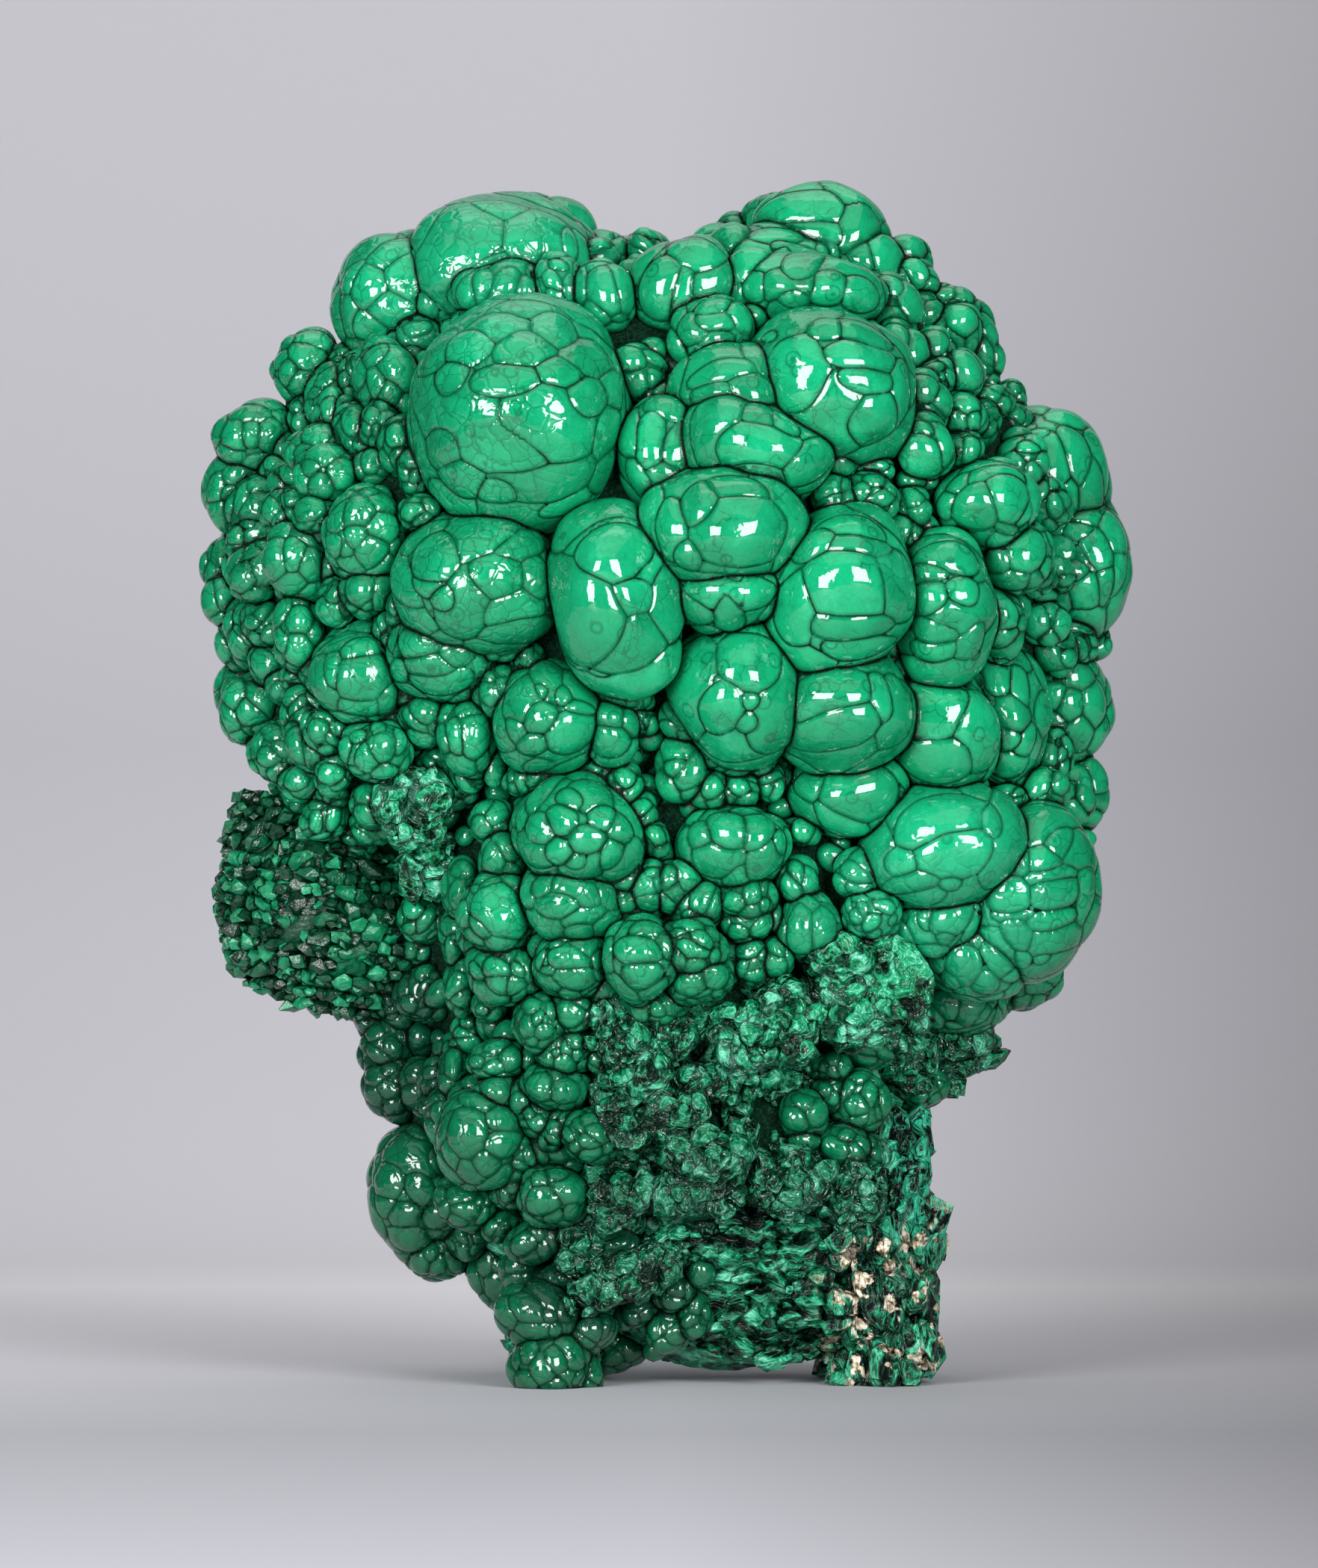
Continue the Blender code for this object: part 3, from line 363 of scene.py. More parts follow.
        (-4.8, 97.6, 6.8, 7.6, -8, 9), (-4.6, 94.2, 3.8, 2.8, 0), (-5.2, 100, 4.4, 2.8, 0),
        (-2.4, 104, 3.4, 1.8, 0),
    ),
    ((8.3, 93.6, 6, 4.4, 22, 8), (5.4, 92.5, 2.8, 3, 0), (11, 95, 3, 3.4, 0)),
    ((12.8, 142.5, 5.8, 3.4, -25, 7),), ((20, 142, 3.6, 3.4, 0, 6),), ((4.8, 138.7, 5, 6.2, 20, 6),),
    ((16.4, 134.6, 3.4, 3.2, 0, 6),), ((10.8, 134.2, 3, 3.2, 0, 6),), ((3.6, 150, 3.4, 4.6, 20, 4),),
    ((29.7, 125, 4.2, 2.7, -10, 3),), ((7.2, 110.3, 4.8, 4.6, 0, 3),), ((17.5, 111, 6.2, 4.4, 0, 4),),
    ((18, 105.6, 4.4, 3.6, 0, 4),), ((30, 114, 3.8, 4.2, 0, 3),), ((24, 106.5, 2, 3.2, 15, 3),),
    ((24.8, 98, 3.2, 4, 0, 4),), ((19, 97, 3.8, 4.8, 10, 3),), ((5.7, 100.4, 5.8, 5.4, 0, 9),),
    ((-2.5, 88, 7.5, 3.4, 0, 4),),
    # cauliflower
    (
        (61, 122.5, 15.5, 12, 10, 9), (61, 130, 10, 4.4, 15), (63.6, 121, 9.4, 4.8, 8),
        (50.5, 119.6, 4.2, 2.8, 10), (52.5, 114.6, 6.4, 2.5, 15), (55.5, 111.5, 5, 1.9, 12),
        (72, 127.8, 2.8, 4, 0), (61.8, 115, 2.6, 1.6, 0),
    ),
    ((43, 116, 4.2, 5.4, -10, 8), (43, 117.8, 3.2, 2.8, 0), (43, 113.3, 3, 1.6, 0)),
    (
        (82, 112, 13.6, 17, -8, 5), (75.5, 111.6, 4.7, 3.6, 10), (77, 107.3, 4.5, 1.4, 5),
        (78.4, 103, 3, 4, 15), (87, 112, 5.3, 3.2, 3), (86.5, 106.2, 5, 2.2, 5),
        (86.5, 115.8, 5.3, 2, 10), (84, 119.8, 4.3, 2.8, 15), (78, 118.6, 2.6, 2.6, 0),
        (76, 123.8, 4, 2.8, 30), (93.3, 112, 2, 7.5, 0), (87.5, 101, 5.6, 3.2, 5),
        (84, 97.8, 2.7, 2.3, 0), (79.6, 97.5, 2.3, 2.4, 0), (87.5, 123, 3.6, 3.4, -40),
    ),
    ((65.5, 87.3, 9, 5.4, -3, 8), (63.3, 87.6, 5, 3.2, -10)),
    ((45.7, 107.2, 5.4, 5.1, -10, 11),), ((61, 106, 8.7, 5.4, 18, 11),),
    ((69, 97.8, 8.9, 7.3, -8, 12),), ((58.4, 94.6, 3.2, 4.6, 0, 9),), ((53, 98.8, 2.8, 2.2, -40, 9),),
    ((81.5, 91.5, 7, 5.4, 25, -2),), ((72, 88, 6, 5, 10, 2),),
    # stem
    ((-37, 107.3, 7, 8, -22, 8), (-36, 107.5, 5.6, 6, 0)),
    (
        (-35.5, 94.5, 7.4, 5.6, -8, 7), (-38, 94.8, 3, 2.8, 0), (-31.6, 95.5, 3, 2.4, 0),
        (-33.5, 91.4, 3.2, 2.1, 0),
    ),
    (
        (-20.5, 96.6, 7.2, 6.6, 12, 7), (-21, 97.5, 4.2, 3.1, 0), (-20, 92.4, 4.4, 2.5, 5),
        (-15.6, 101, 3.4, 2.4, 15),
    ),
    ((-24.2, 69.2, 6.2, 4.2, -5, 6), (-27, 69.6, 3, 3, 0), (-21, 69, 3, 3, 0)),
    ((-35.6, 119.6, 4.4, 4.8, 0, 7),), ((-38.4, 127.8, 4, 4.6, -30, 7),),
    ((-31.4, 126, 2.2, 3.4, 0, 5),), ((-41, 101.6, 4.4, 4, 0, 6),), ((-27.3, 100.8, 2.8, 3, 0, 6),),
    ((-29, 104.2, 2.2, 2.2, 0, 5),), ((-26.9, 83, 5.5, 5.4, 0, 8),), ((-19.6, 86, 4, 4.2, 0, 6),),
    ((-21.2, 77.3, 6, 4.4, 22, 7),), ((-34.5, 81, 2.5, 2.8, 0, 6),), ((-36.2, 74.3, 5.2, 4.6, 0, 7),),
    ((-30, 74.8, 2.1, 2.6, 0, 6),), ((-36.6, 66.6, 4.4, 3.4, 0, 7),), ((-31, 66, 2.6, 3.6, 0, 6),),
    ((-28, 62.3, 3.8, 3.6, -10, 5),), ((-43.3, 80.3, 3.4, 5.2, -10, 5),), ((-44.8, 91, 3, 5.4, 0, 5),),
    ((-44.5, 112.5, 3.6, 6, 0, 4),), ((-46.5, 101.5, 2.8, 5.6, 0, 3),), ((-46, 71, 3.4, 5.6, 0, 4),),
    ((-38.4, 87.3, 3.4, 2.8, 0, 5),), ((-48.3, 62, 3, 6.4, 0, 3),), ((-60.5, 67.8, 6.2, 6.2, -10, 3),),
    ((-62.5, 77.5, 5.6, 7.6, -12, 1),), ((-60.5, 89, 3.6, 6.8, 25, 4),),
    ((-53.6, 91, 5.8, 5.4, -20, 5),), ((-66.3, 85.5, 3.6, 6, 5, 0),), ((-54, 106.5, 5.8, 4.6, 0, 2),),
    ((-55.5, 99.6, 3.8, 3, 0, 4),), ((-53.5, 80.5, 4, 4, -20, 3),), ((-54.5, 70.5, 4, 5.5, 0, 3),),
    # pendant
    (
        (-40, 57, 7.8, 8.6, 10, 8), (-42.6, 58.5, 4, 5, 0), (-34.2, 61.5, 2.7, 2.5, 0),
        (-34.5, 56.3, 3.5, 2.4, 30), (-39, 51.8, 2.7, 2.6, 0), (-36.3, 48.3, 4.6, 2.4, 10),
        (-45.6, 53.5, 2, 3.6, 30),
    ),
    (
        (-56, 45.5, 9.2, 14, -5, 4), (-58, 54.3, 5.6, 4.8, 30), (-57.5, 39.2, 3.4, 3, 0),
        (-61.8, 48, 2.8, 5, 0), (-54.4, 46, 2.5, 4.4, 20), (-52.3, 36.7, 2, 2.5, 30),
        (-56.5, 33.8, 5.5, 2.6, -15), (-62.3, 42.7, 2.2, 3, 0), (-54.5, 58, 4, 3.6, 0),
    ),
    ((-44, 43.4, 5.7, 4.6, -15, 8),), ((-49.3, 40.5, 4.4, 5.4, -15, 5),), ((-33, 53, 4, 4.8, -20, 5),),
    ((-50.2, 30.2, 6.4, 5, 0, 4),), ((-43.5, 34.5, 3.8, 4.2, -10, 3),),
    # left foot
    (
        (-25, 44.8, 6.8, 5.8, 0, 7), (-27.6, 43.6, 3.8, 3.4, 0), (-20.6, 47, 3.7, 3.3, 0),
        (-23.4, 50, 2.5, 1.8, 0),
    ),
    ((-37.8, 27.5, 5, 8.4, 15, 4), (-38.3, 30.5, 3.4, 4, 0), (-37, 23.5, 3, 3.4, 0)),
    ((-10.3, 34, 3.6, 3.4, 10, 6), (-10, 35.6, 3.2, 1.7, 5), (-10.6, 32, 3, 1.6, 5)),
    (
        (-29.3, 18, 7.4, 6.4, -12, 7), (-31.6, 20.5, 4.5, 3.6, -15), (-29, 15.3, 4.6, 2.9, -5),
        (-24.4, 15.6, 2.4, 2.4, 0), (-25.8, 19.7, 2.5, 2, 0),
    ),
    ((-34, 46.6, 3.8, 3.8, 30, 5),), ((-28.6, 50, 3, 2.8, 0, 4),), ((-36, 38, 3.8, 3, 0, 5),),
    ((-28.4, 34.9, 5, 3.8, 5, 8),), ((-30.6, 27.7, 3.8, 4.4, 0, 8),), ((-23.6, 27.5, 4, 2.6, 25, 8),),
    ((-26.7, 7.3, 7.2, 6.6, 0, 6),), ((-17.6, 5.5, 3.6, 4.8, 0, 6),), ((-11, 9.7, 6.8, 4.8, 8, 8),),
    ((-16.3, 15.2, 5, 3.4, 20, 7),), ((-18.6, 10.6, 2.4, 3.2, 0, 5),), ((-6, 19.5, 5, 2.9, 22, 6),),
    ((0.6, 15.3, 4.3, 4.3, 0, 6),), ((-2.6, 9.8, 2.2, 2.4, 0, 6),), ((2, 23.7, 4.2, 3.2, 20, 4),),
    ((6.4, 18.5, 3, 4.4, 0, 4),), ((8, 28, 2.8, 3, 0, 3),),
    # small balls
    ((41.9, 66, 5.8, 5.6, 0, 8),), ((39.4, 56, 4.6, 4.6, 0, 7),), ((31.4, 57.4, 3, 2, 0, 5),),
    ((36.3, 67.5, 3, 3.6, 0, 6),), ((36, 73.3, 3.8, 3.2, 0, 6),), ((45.5, 76.5, 5, 3.4, 0, 6),),
    ((31, 63, 4, 3.8, 0, 5),), ((47, 72.4, 3.4, 2.8, 0, 5),), ((45, 55, 2, 4.4, 0, 3),),
    ((-16.3, 59, 5.2, 4.6, -10, 7),), ((-23.5, 60.3, 2.8, 4.8, -40, 5),),
    ((-12.5, 75.5, 3.8, 3.2, 0, 5),), ((55.5, 67.5, 8, 5, 12, 3),),
]

# %% lumps with broken faces
BROKEN = [
    (48, 92.7, 9.2, 8.6, 0, 10), (38.5, 97.8, 7, 4, -5, 8), (40, 87.5, 10, 9, -10, 6),
    (55.8, 76.5, 5.4, 6, 0, 7), (50.5, 82, 8.5, 4.6, 12, 5), (66, 80, 8.6, 5, 15, 2),
    (70, 75.5, 5.4, 4.4, 20, -3), (63.5, 70.5, 4.8, 4.8, 0, -1), (19, 81, 8, 6.4, -10, 9),
    (26, 83.5, 7.4, 8.6, -20, 6), (-10, 82.3, 5.6, 5.8, 0, 5), (-0.5, 82, 5, 5.4, 0, 3),
    (-6, 72.5, 7, 5.4, -15, 5), (2, 64, 6.4, 5, 0, 6), (-9, 62, 4.6, 4.6, 0, 5),
    (-55.6, 131.3, 6.5, 8, 5, 6), (-53, 117.6, 6, 6, 0, 5), (-18.4, 33.8, 4.8, 4.7, 0, 6),
    (-8.5, 27.5, 15.5, 4.8, 25, 6), (-10.6, 44.5, 6.4, 4.6, 15, 5), (8, 54.5, 9, 5, -8, 5),
    (6, 46, 10, 5, 5, 4), (27, 49, 8.6, 6.4, 8, 6), (41, 45, 6, 6.4, 0, 5), (14, 70, 12, 4, 5, 2),
]

# %% the right foot's lumps
FOOT_LUMPS = [
    (52, 56, 6, 7, 0, 0), (51, 45, 7, 6, 0, 2), (53, 35, 7, 7, 0, 0), (50, 24, 7.5, 6, 0, 3),
    (52, 13, 7.5, 7, 0, 2), (47, 6, 9, 6, 0, 4), (42, 34, 8, 7, 20, 4), (40, 20, 7, 7, 0, 4),
    (30, 32, 9, 7, -15, 3), (24, 22, 9, 6, 10, 3), (33, 12, 7, 5, 15, 3), (22, 12, 8, 5, -10, 2),
    (28.5, 4, 4.2, 3.6, 0, 4), (20, 38, 9, 5, 5, 4), (36, 43, 6, 5, 0, 4), (12, 34, 7, 4, 0, 3),
    (13, 14, 6, 4.4, 0, 2), (5, 36, 7, 4, 0, 4),
]

# %% all rows of the near side
NEAR_ROWS = [first for first, *_ in HEADS] + BROKEN
print(len(HEADS), "heads,", sum(len(row) - 1 for row in HEADS), "plates,", len(BROKEN), "broken lumps")

# %% [markdown]
# Heads grow until they press on their neighbours, so the crease between two of them lies well up
# their sides. Simulating that growth would be slow, so each table row is grown by a share of its
# size. A side with no neighbour and no core behind it is part of the outline, and stays in place.

# %% what lies behind a point of the upright plane
def within(x, z, row, margin):
    """Whether a point of the upright plane lies in a row's outline grown by a margin."""
    turn = math.radians(row[4])
    dx, dz = x - row[0], z - row[1]
    along = (dx * math.cos(turn) + dz * math.sin(turn)) / (row[2] + margin)
    rising = (dz * math.cos(turn) - dx * math.sin(turn)) / (row[3] + margin)
    return along * along + rising * rising < 1.0


def in_core(x, z, margin):
    """Whether a point of the upright plane lies in front of a core mass."""
    return any(
        ((x - cx) / (rx + margin)) ** 2 + ((z - cz) / (rz + margin)) ** 2 < 1.0
        for cx, _, cz, rx, _, rz in CORES.values()
    )

# %% pressed heads
PRESS = 0.23            # how far a head grows into its neighbours, as a share of its size
MOST_PRESS = 2.6        # the most that a head grows
RIM_STEPS = 24          # points of a head's rim that are tried for a neighbour
NEARBY = 40.0           # heads further off than this in x are not neighbours
TOUCH = 0.3             # a gap of this much still counts as a touch
PULL_GAIN = 1.3         # how soon a free side stops the growth


def turned(u, v, turn):
    """A way in the upright plane, turned."""
    return u * math.cos(turn) - v * math.sin(turn), u * math.sin(turn) + v * math.cos(turn)


def pressed(row, rows):
    """How far a head grows, and how far it draws back from its free side, in x and z."""
    x, z, a, b, tilt = row[:5]
    push = min(PRESS * min(a, b), MOST_PRESS)
    turn = math.radians(tilt)
    free = []
    for k in range(RIM_STEPS):
        around = math.tau * k / RIM_STEPS
        nu, nv = math.cos(around) / a, math.sin(around) / b
        length = math.hypot(nu, nv)
        nu, nv = nu / length, nv / length
        pu = a * math.cos(around) + nu * push
        pv = b * math.sin(around) + nv * push
        px = x + pu * math.cos(turn) - pv * math.sin(turn)
        pz = z + pu * math.sin(turn) + pv * math.cos(turn)
        others = (other for other in rows if other is not row and abs(other[0] - px) < NEARBY)
        if in_core(px, pz, 0.0) or any(within(px, pz, other, TOUCH) for other in others):
            continue
        free.append(turned(nu, nv, turn))
    if not free:
        return push, 0.0, 0.0
    fx = sum(way[0] for way in free) / len(free)
    fz = sum(way[1] for way in free) / len(free)
    pull = math.hypot(fx, fz)
    push *= min(1.0, PULL_GAIN * pull)
    return push, -push * fx / max(pull, 0.01), -push * fz / max(pull, 0.01)


# %% [markdown]
# A lobe is one ellipsoid or block: its centre and half sizes in millimetres, its turn, what kind
# of surface it has and how finely it is meshed. Keeping lobes as plain records, and making their
# meshes only at the end, lets each step test a place before anything is built there.

# %% lobes
Lobe = namedtuple("Lobe", "centre radii turn kind detail")
CORE, GLOSSY, BROKEN_FACE, GRAIN, CHUNK, FILLER = range(6)
NEAR_FACET = 1.6        # facets of the near side
REAR_FACET = 3.2        # facets of the far side
COARSEST, FINEST = 2, 6     # icosphere steps
ICO_EDGE = 0.0753       # edge of a ball of five steps, as a share of its radius


def level_turn(tilt):
    """A turn in the upright plane; a positive tilt lifts the right end."""
    return Matrix.Rotation(math.radians(-tilt), 3, "Y")


def fineness(size, facet=NEAR_FACET):
    """Icosphere steps that keep the facets of a lobe near a size in millimetres."""
    steps = 5 + math.ceil(math.log2(max(ICO_EDGE * size / facet, 0.01)) - 0.25)
    return max(COARSEST, min(FINEST, steps))


def on_ball(head, way):
    """The spot of a head that lies in a way from its middle, local to the head."""
    return Vector([way[i] * head.radii[i] for i in range(3)])


# %% heads from their rows
DEEPEST = 2.0           # depth of the core's front where there is no core, and the deepest front
DEPTH_SHARE = 0.52      # half depth of a head, as a share of its half width and half height


def skin_depth(x, z, side):
    """Depth of the core's surface at x, z on the near side (-1) or the far side (1)."""
    found = []
    for cx, cy, cz, rx, ry, rz in CORES.values():
        inside = 1.0 - ((x - cx) / rx) ** 2 - ((z - cz) / rz) ** 2
        if inside > 0.0:
            found.append(cy + side * ry * math.sqrt(inside))
    if not found:
        return DEEPEST
    return min(found) if side < 0 else max(found)


def head_depth(x, z, stand):
    """Depth of a head's middle before it is pressed."""
    return min(skin_depth(x, z, -1) - stand, DEEPEST - stand)


def head_lobe(row, rows, kind=GLOSSY):
    """A head of the near side from its table row."""
    x, z, a, b, tilt, stand = row
    push, shift_x, shift_z = pressed(row, rows)
    y = head_depth(x, z, stand) + 0.7 * push
    radii = Vector((a + push, DEPTH_SHARE * (a + b) + push, b + push))
    centre = Vector((x + shift_x, y, z + shift_z))
    return Lobe(centre, radii, level_turn(tilt), kind, fineness(max(radii)))

# %% [markdown]
# A plate is a younger, lower growth on a head. It could be bumped on in the material, but its rim
# has to throw a real shadow line, so it is geometry: the cap of an ellipsoid that is sunk in the
# head. The cap's half width, its half height and its rise over the head give the ellipsoid's radii:
# along the head's normal it reaches partly down into the head, and across it is as wide as it must
# be to come out at the plate's rim.

# %% one plate
PLATE_LAP = 1.12        # plates are this much larger than their clear outline
PLATE_RISE = 0.26       # how far a plate stands up, as a share of its smaller half width
MOST_RISE = 1.15        # the most that a plate stands up
LEAST_RISE = 0.06       # added to every plate, so that none is lost in its head
OUTERMOST = 0.93        # how far out on a head a plate's middle may lie
MOST_LEAN = 1.6         # how much longer a plate gets where its head slopes away
PLATE_MARGIN = 0.2      # added to a plate's half sizes


def bend_along(radii, spot, way):
    """Radius of curvature of an ellipsoid's surface at a spot, along a tangent; both local."""
    plane = 1.0 / math.sqrt(sum((spot[i] / radii[i] ** 2) ** 2 for i in range(3)))
    tight = plane * sum((way[i] / radii[i]) ** 2 for i in range(3))
    return 1.0 / tight


def cap_on(head, spot, across_to, wide, high, facet=NEAR_FACET):
    """A plate over a head, with its middle at a spot on the head; `spot` is local to the head."""
    radii, turn = head.radii, head.turn
    normal = Vector([spot[i] / radii[i] ** 2 for i in range(3)]).normalized()
    across = turn.transposed() @ across_to
    across = (across - normal * across.dot(normal)).normalized()
    up = across.cross(normal)
    slim = math.sqrt(min(wide, high) / max(wide, high))
    rise = min(PLATE_RISE * min(wide, high), MOST_RISE) * slim
    rise += LEAST_RISE
    thick = 1.0 / math.sqrt(sum((normal[i] / radii[i]) ** 2 for i in range(3)))
    drops = []
    for way, half in ((across, wide), (up, high)):
        bend = bend_along(radii, spot, way)
        half = min(half, 0.85 * bend)
        drops.append((half, bend - math.sqrt(bend * bend - half * half) + rise))
    deep = max(0.7 * thick, 1.2 * drops[0][1], 1.2 * drops[1][1])
    reach = [half / math.sqrt(drop / deep * (2.0 - drop / deep)) for half, drop in drops]
    centre = head.centre + turn @ (spot - normal * (deep - rise))
    own = Matrix((turn @ across, turn @ normal, turn @ up)).transposed()
    size = Vector((reach[0], deep, reach[1]))
    return Lobe(centre, size, own, head.kind, fineness(max(size), facet))


def plate_lobe(head, row):
    """A plate from its table row, laid on the near side of its head."""
    x, z, a, b, tilt = row
    local = head.turn.transposed() @ (Vector((x, head.centre.y, z)) - head.centre)
    u = local.x / head.radii.x
    v = local.z / head.radii.z
    out = math.hypot(u, v)
    if out > OUTERMOST:
        u, v = OUTERMOST * u / out, OUTERMOST * v / out
        out = OUTERMOST
    w = math.sqrt(1.0 - out * out)
    spot = Vector((u * head.radii.x, -w * head.radii.y, v * head.radii.z))
    slope = Vector((u / head.radii.x, -w / head.radii.y, v / head.radii.z))
    normal = (head.turn @ slope).normalized()
    level = level_turn(tilt)
    lean = []
    for way in ((1.0, 0.0, 0.0), (0.0, 0.0, 1.0)):
        along = level @ Vector(way)
        along = along - Vector((0.0, 1.0, 0.0)) * (along.dot(normal) / normal.y)
        lean.append(along)
    wide = a * PLATE_LAP * min(lean[0].length, MOST_LEAN) + PLATE_MARGIN
    high = b * PLATE_LAP * min(lean[1].length, MOST_LEAN) + PLATE_MARGIN
    return cap_on(head, spot, lean[0], wide, high)

# %% [markdown]
# Between the plates that have a row of their own, and all over the rear heads, smaller plates are
# strewn by a seeded random draw: few on the smooth upper right, many elsewhere.

# %% strewn plates
LEAST_GROWN = 3.6       # heads under this size have no strewn plates
SMOOTH_SIDE = (-18.0, 66.0)     # x of the smoother heads
SMOOTH_FROM = 122.0     # height from which they are smoothest


def spread(count, rng):
    """Directions spread evenly over a ball, a little disturbed."""
    golden = math.pi * (3.0 - math.sqrt(5.0))
    for k in range(count):
        rise = 1.0 - 2.0 * (k + 0.5) / count + rng.uniform(-0.06, 0.06)
        rise = max(-1.0, min(1.0, rise))
        flat = math.sqrt(1.0 - rise * rise)
        turn = golden * k + rng.uniform(-0.25, 0.25)
        yield Vector((flat * math.cos(turn), flat * math.sin(turn), rise))


def plate_count(head, size, rng):
    """How many plates go round a head: few on the smooth upper right, many elsewhere."""
    x, y, z = head.centre
    left, right = SMOOTH_SIDE
    if y > BEHIND:
        return rng.choice((12, 16, 20)) if size > 6.0 else rng.choice((8, 10))
    if z > SMOOTH_FROM and left < x < right:
        return rng.choice((10, 14, 18)) if size > 5.0 else rng.choice((6, 8))
    if z > CROWN_FROM and x < right:
        return rng.choice((16, 22, 28)) if size > 5.0 else rng.choice((8, 10))
    return rng.choice((22, 28, 36)) if size > 6.0 else rng.choice((10, 13, 16))


def grown_plates(head, outward, rng, keep=-0.1, facet=NEAR_FACET):
    """Plates all over the side of a head that faces a way; `keep` is how far round they go."""
    size = sum(head.radii) / 3.0
    count = plate_count(head, size, rng)
    if size < LEAST_GROWN or not count:
        return []
    plates = []
    for way in spread(count, rng):
        if (head.turn @ way).dot(outward) < keep:
            continue
        spot = on_ball(head, way)
        half = size * 2.0 / math.sqrt(count) * rng.uniform(0.85, 1.6)
        high = half * rng.uniform(0.45, 1.0)
        lay = Vector((rng.uniform(-1, 1), rng.uniform(-1, 1), rng.uniform(-1, 1)))
        plates.append(cap_on(head, spot, lay, half, high, facet))
    return plates

# %% the near side's heads
NEAR_KEEP = -0.4        # how far round a near head its strewn plates go, as a cosine


def near_side():
    """Heads and plates of the near side."""
    rng = random.Random(29)
    lobes = []
    outward = Vector((0.0, -1.0, 0.0))
    for first, *plates in HEADS:
        head = head_lobe(first, NEAR_ROWS)
        lobes.append(head)
        lobes.extend(plate_lobe(head, row) for row in plates)
        for plate in grown_plates(head, outward, rng, NEAR_KEEP):
            top = plate.centre + plate.turn @ Vector((0.0, plate.radii.y, 0.0))
            if not any(within(top.x, top.z, row, 0.4) for row in plates):
                lobes.append(plate)
    return lobes


near = near_side()
print(len(near), "heads and plates on the near side")

# %% [markdown]
# Where pieces broke away, the stone shows flat-fronted lumps under a scatter of flakes. A displaced
# plane would look soft, so each flake is a faceted block laid along the face.

# %% turns and spots on masses
BURIED = 0.93           # share inside which a spot counts as buried in a mass


def random_turn(rng, lean):
    """A turn about the vertical with a lean of up to so many degrees."""
    spin = Matrix.Rotation(rng.uniform(0.0, math.tau), 3, "Z")
    tip = Matrix.Rotation(math.radians(rng.uniform(-lean, lean)), 3, "X")
    return Matrix.Rotation(math.radians(rng.uniform(-lean, lean)), 3, "Y") @ tip @ spin


def buried(spot, masses, share):
    """Whether a point lies deep inside one of some masses."""
    return any(
        ((spot.x - cx) / rx) ** 2 + ((spot.y - cy) / ry) ** 2 + ((spot.z - cz) / rz) ** 2 < share
        for cx, cy, cz, rx, ry, rz in masses
    )


def over(masses, spacing, rng):
    """Points spread evenly over the joint surface of some masses, with the way out."""
    for mass in masses:
        cx, cy, cz, rx, ry, rz = mass
        faces = (rx * ry) ** 1.6 / 3 + (ry * rz) ** 1.6 / 3 + (rx * rz) ** 1.6 / 3
        area = 4.0 * math.pi * faces ** 0.625
        others = [other for other in masses if other is not mass]
        for way in spread(int(area / spacing ** 2), rng):
            spot = Vector((cx + rx * way.x, cy + ry * way.y, cz + rz * way.z))
            if not buried(spot, others, BURIED):
                yield spot, way

# %% flakes
FLAKE_SIZES = (1.5, 4.2)


def flakes(head, count, rng):
    """Faceted flakes laid on the front of a lump."""
    lobes = []
    for _ in range(count):
        way = Vector((rng.uniform(-1, 1), -rng.uniform(0.25, 1.0), rng.uniform(-1, 1))).normalized()
        spot = head.centre + head.turn @ on_ball(head, way)
        normal = (head.turn @ Vector([way[i] / head.radii[i] for i in range(3)])).normalized()
        across = normal.orthogonal().normalized()
        own = Matrix((across, normal, across.cross(normal))).transposed()
        own = own @ Matrix.Rotation(rng.uniform(0.0, math.tau), 3, "Y")
        own = own @ Matrix.Rotation(math.radians(rng.uniform(-35, 35)), 3, "X")
        size = rng.uniform(*FLAKE_SIZES)
        radii = Vector((size * rng.uniform(0.8, 1.3), size * rng.uniform(0.5, 0.85), size))
        place = spot - normal * size * rng.uniform(0.1, 0.5)
        lobes.append(Lobe(place, radii, own, BROKEN_FACE, 0))
    return lobes

# %% broken lumps
OPEN_FACE = BROKEN[0]   # the one broken face that is smooth enough to show its own form
OPEN_FLATNESS = 0.3     # half depth of its front, as a share of its own
FLATNESS = 0.6          # the same for the others
SPLINTER_SPACING = 3.6  # splinters on the bare stone between the lumps
SPLINTER_HEIGHTS = (38.0, 92.0)
SPLINTER_LEFT = -16.0   # x of the leftmost splinters


def broken_side():
    """The broken lumps with their flakes."""
    rng = random.Random(31)
    lobes = []
    for row in BROKEN:
        head = head_lobe(row, NEAR_ROWS, BROKEN_FACE)
        open_face = row == OPEN_FACE
        flat = (OPEN_FLATNESS if open_face else FLATNESS) * head.radii.y
        centre = head.centre - Vector((0.0, head.radii.y - flat, 0.0))
        radii = Vector((head.radii.x, flat, head.radii.z))
        detail = fineness(max(radii), 1.0) if open_face else 0
        head = head._replace(centre=centre, radii=radii, detail=detail)
        lobes.append(head)
        area = head.radii.x * head.radii.z
        lobes.extend(flakes(head, 6 if open_face else int(8 + area * 0.4), rng))
    low, high = SPLINTER_HEIGHTS
    for spot, way in over([CORES["stem"], CORES["foot"], CORES["neck"]], SPLINTER_SPACING, rng):
        if spot.y > 0.0 or not low < spot.z < high or spot.x < SPLINTER_LEFT:
            continue
        size = 1.6 + 4.4 * rng.random() ** 2
        shares = (rng.uniform(0.7, 1.3), rng.uniform(0.6, 1.0), rng.uniform(0.6, 1.1))
        radii = Vector([size * share for share in shares])
        place = spot + way * rng.uniform(-0.6, 1.4)
        lobes.append(Lobe(place, radii, random_turn(rng, 40), BROKEN_FACE, 0))
    return lobes


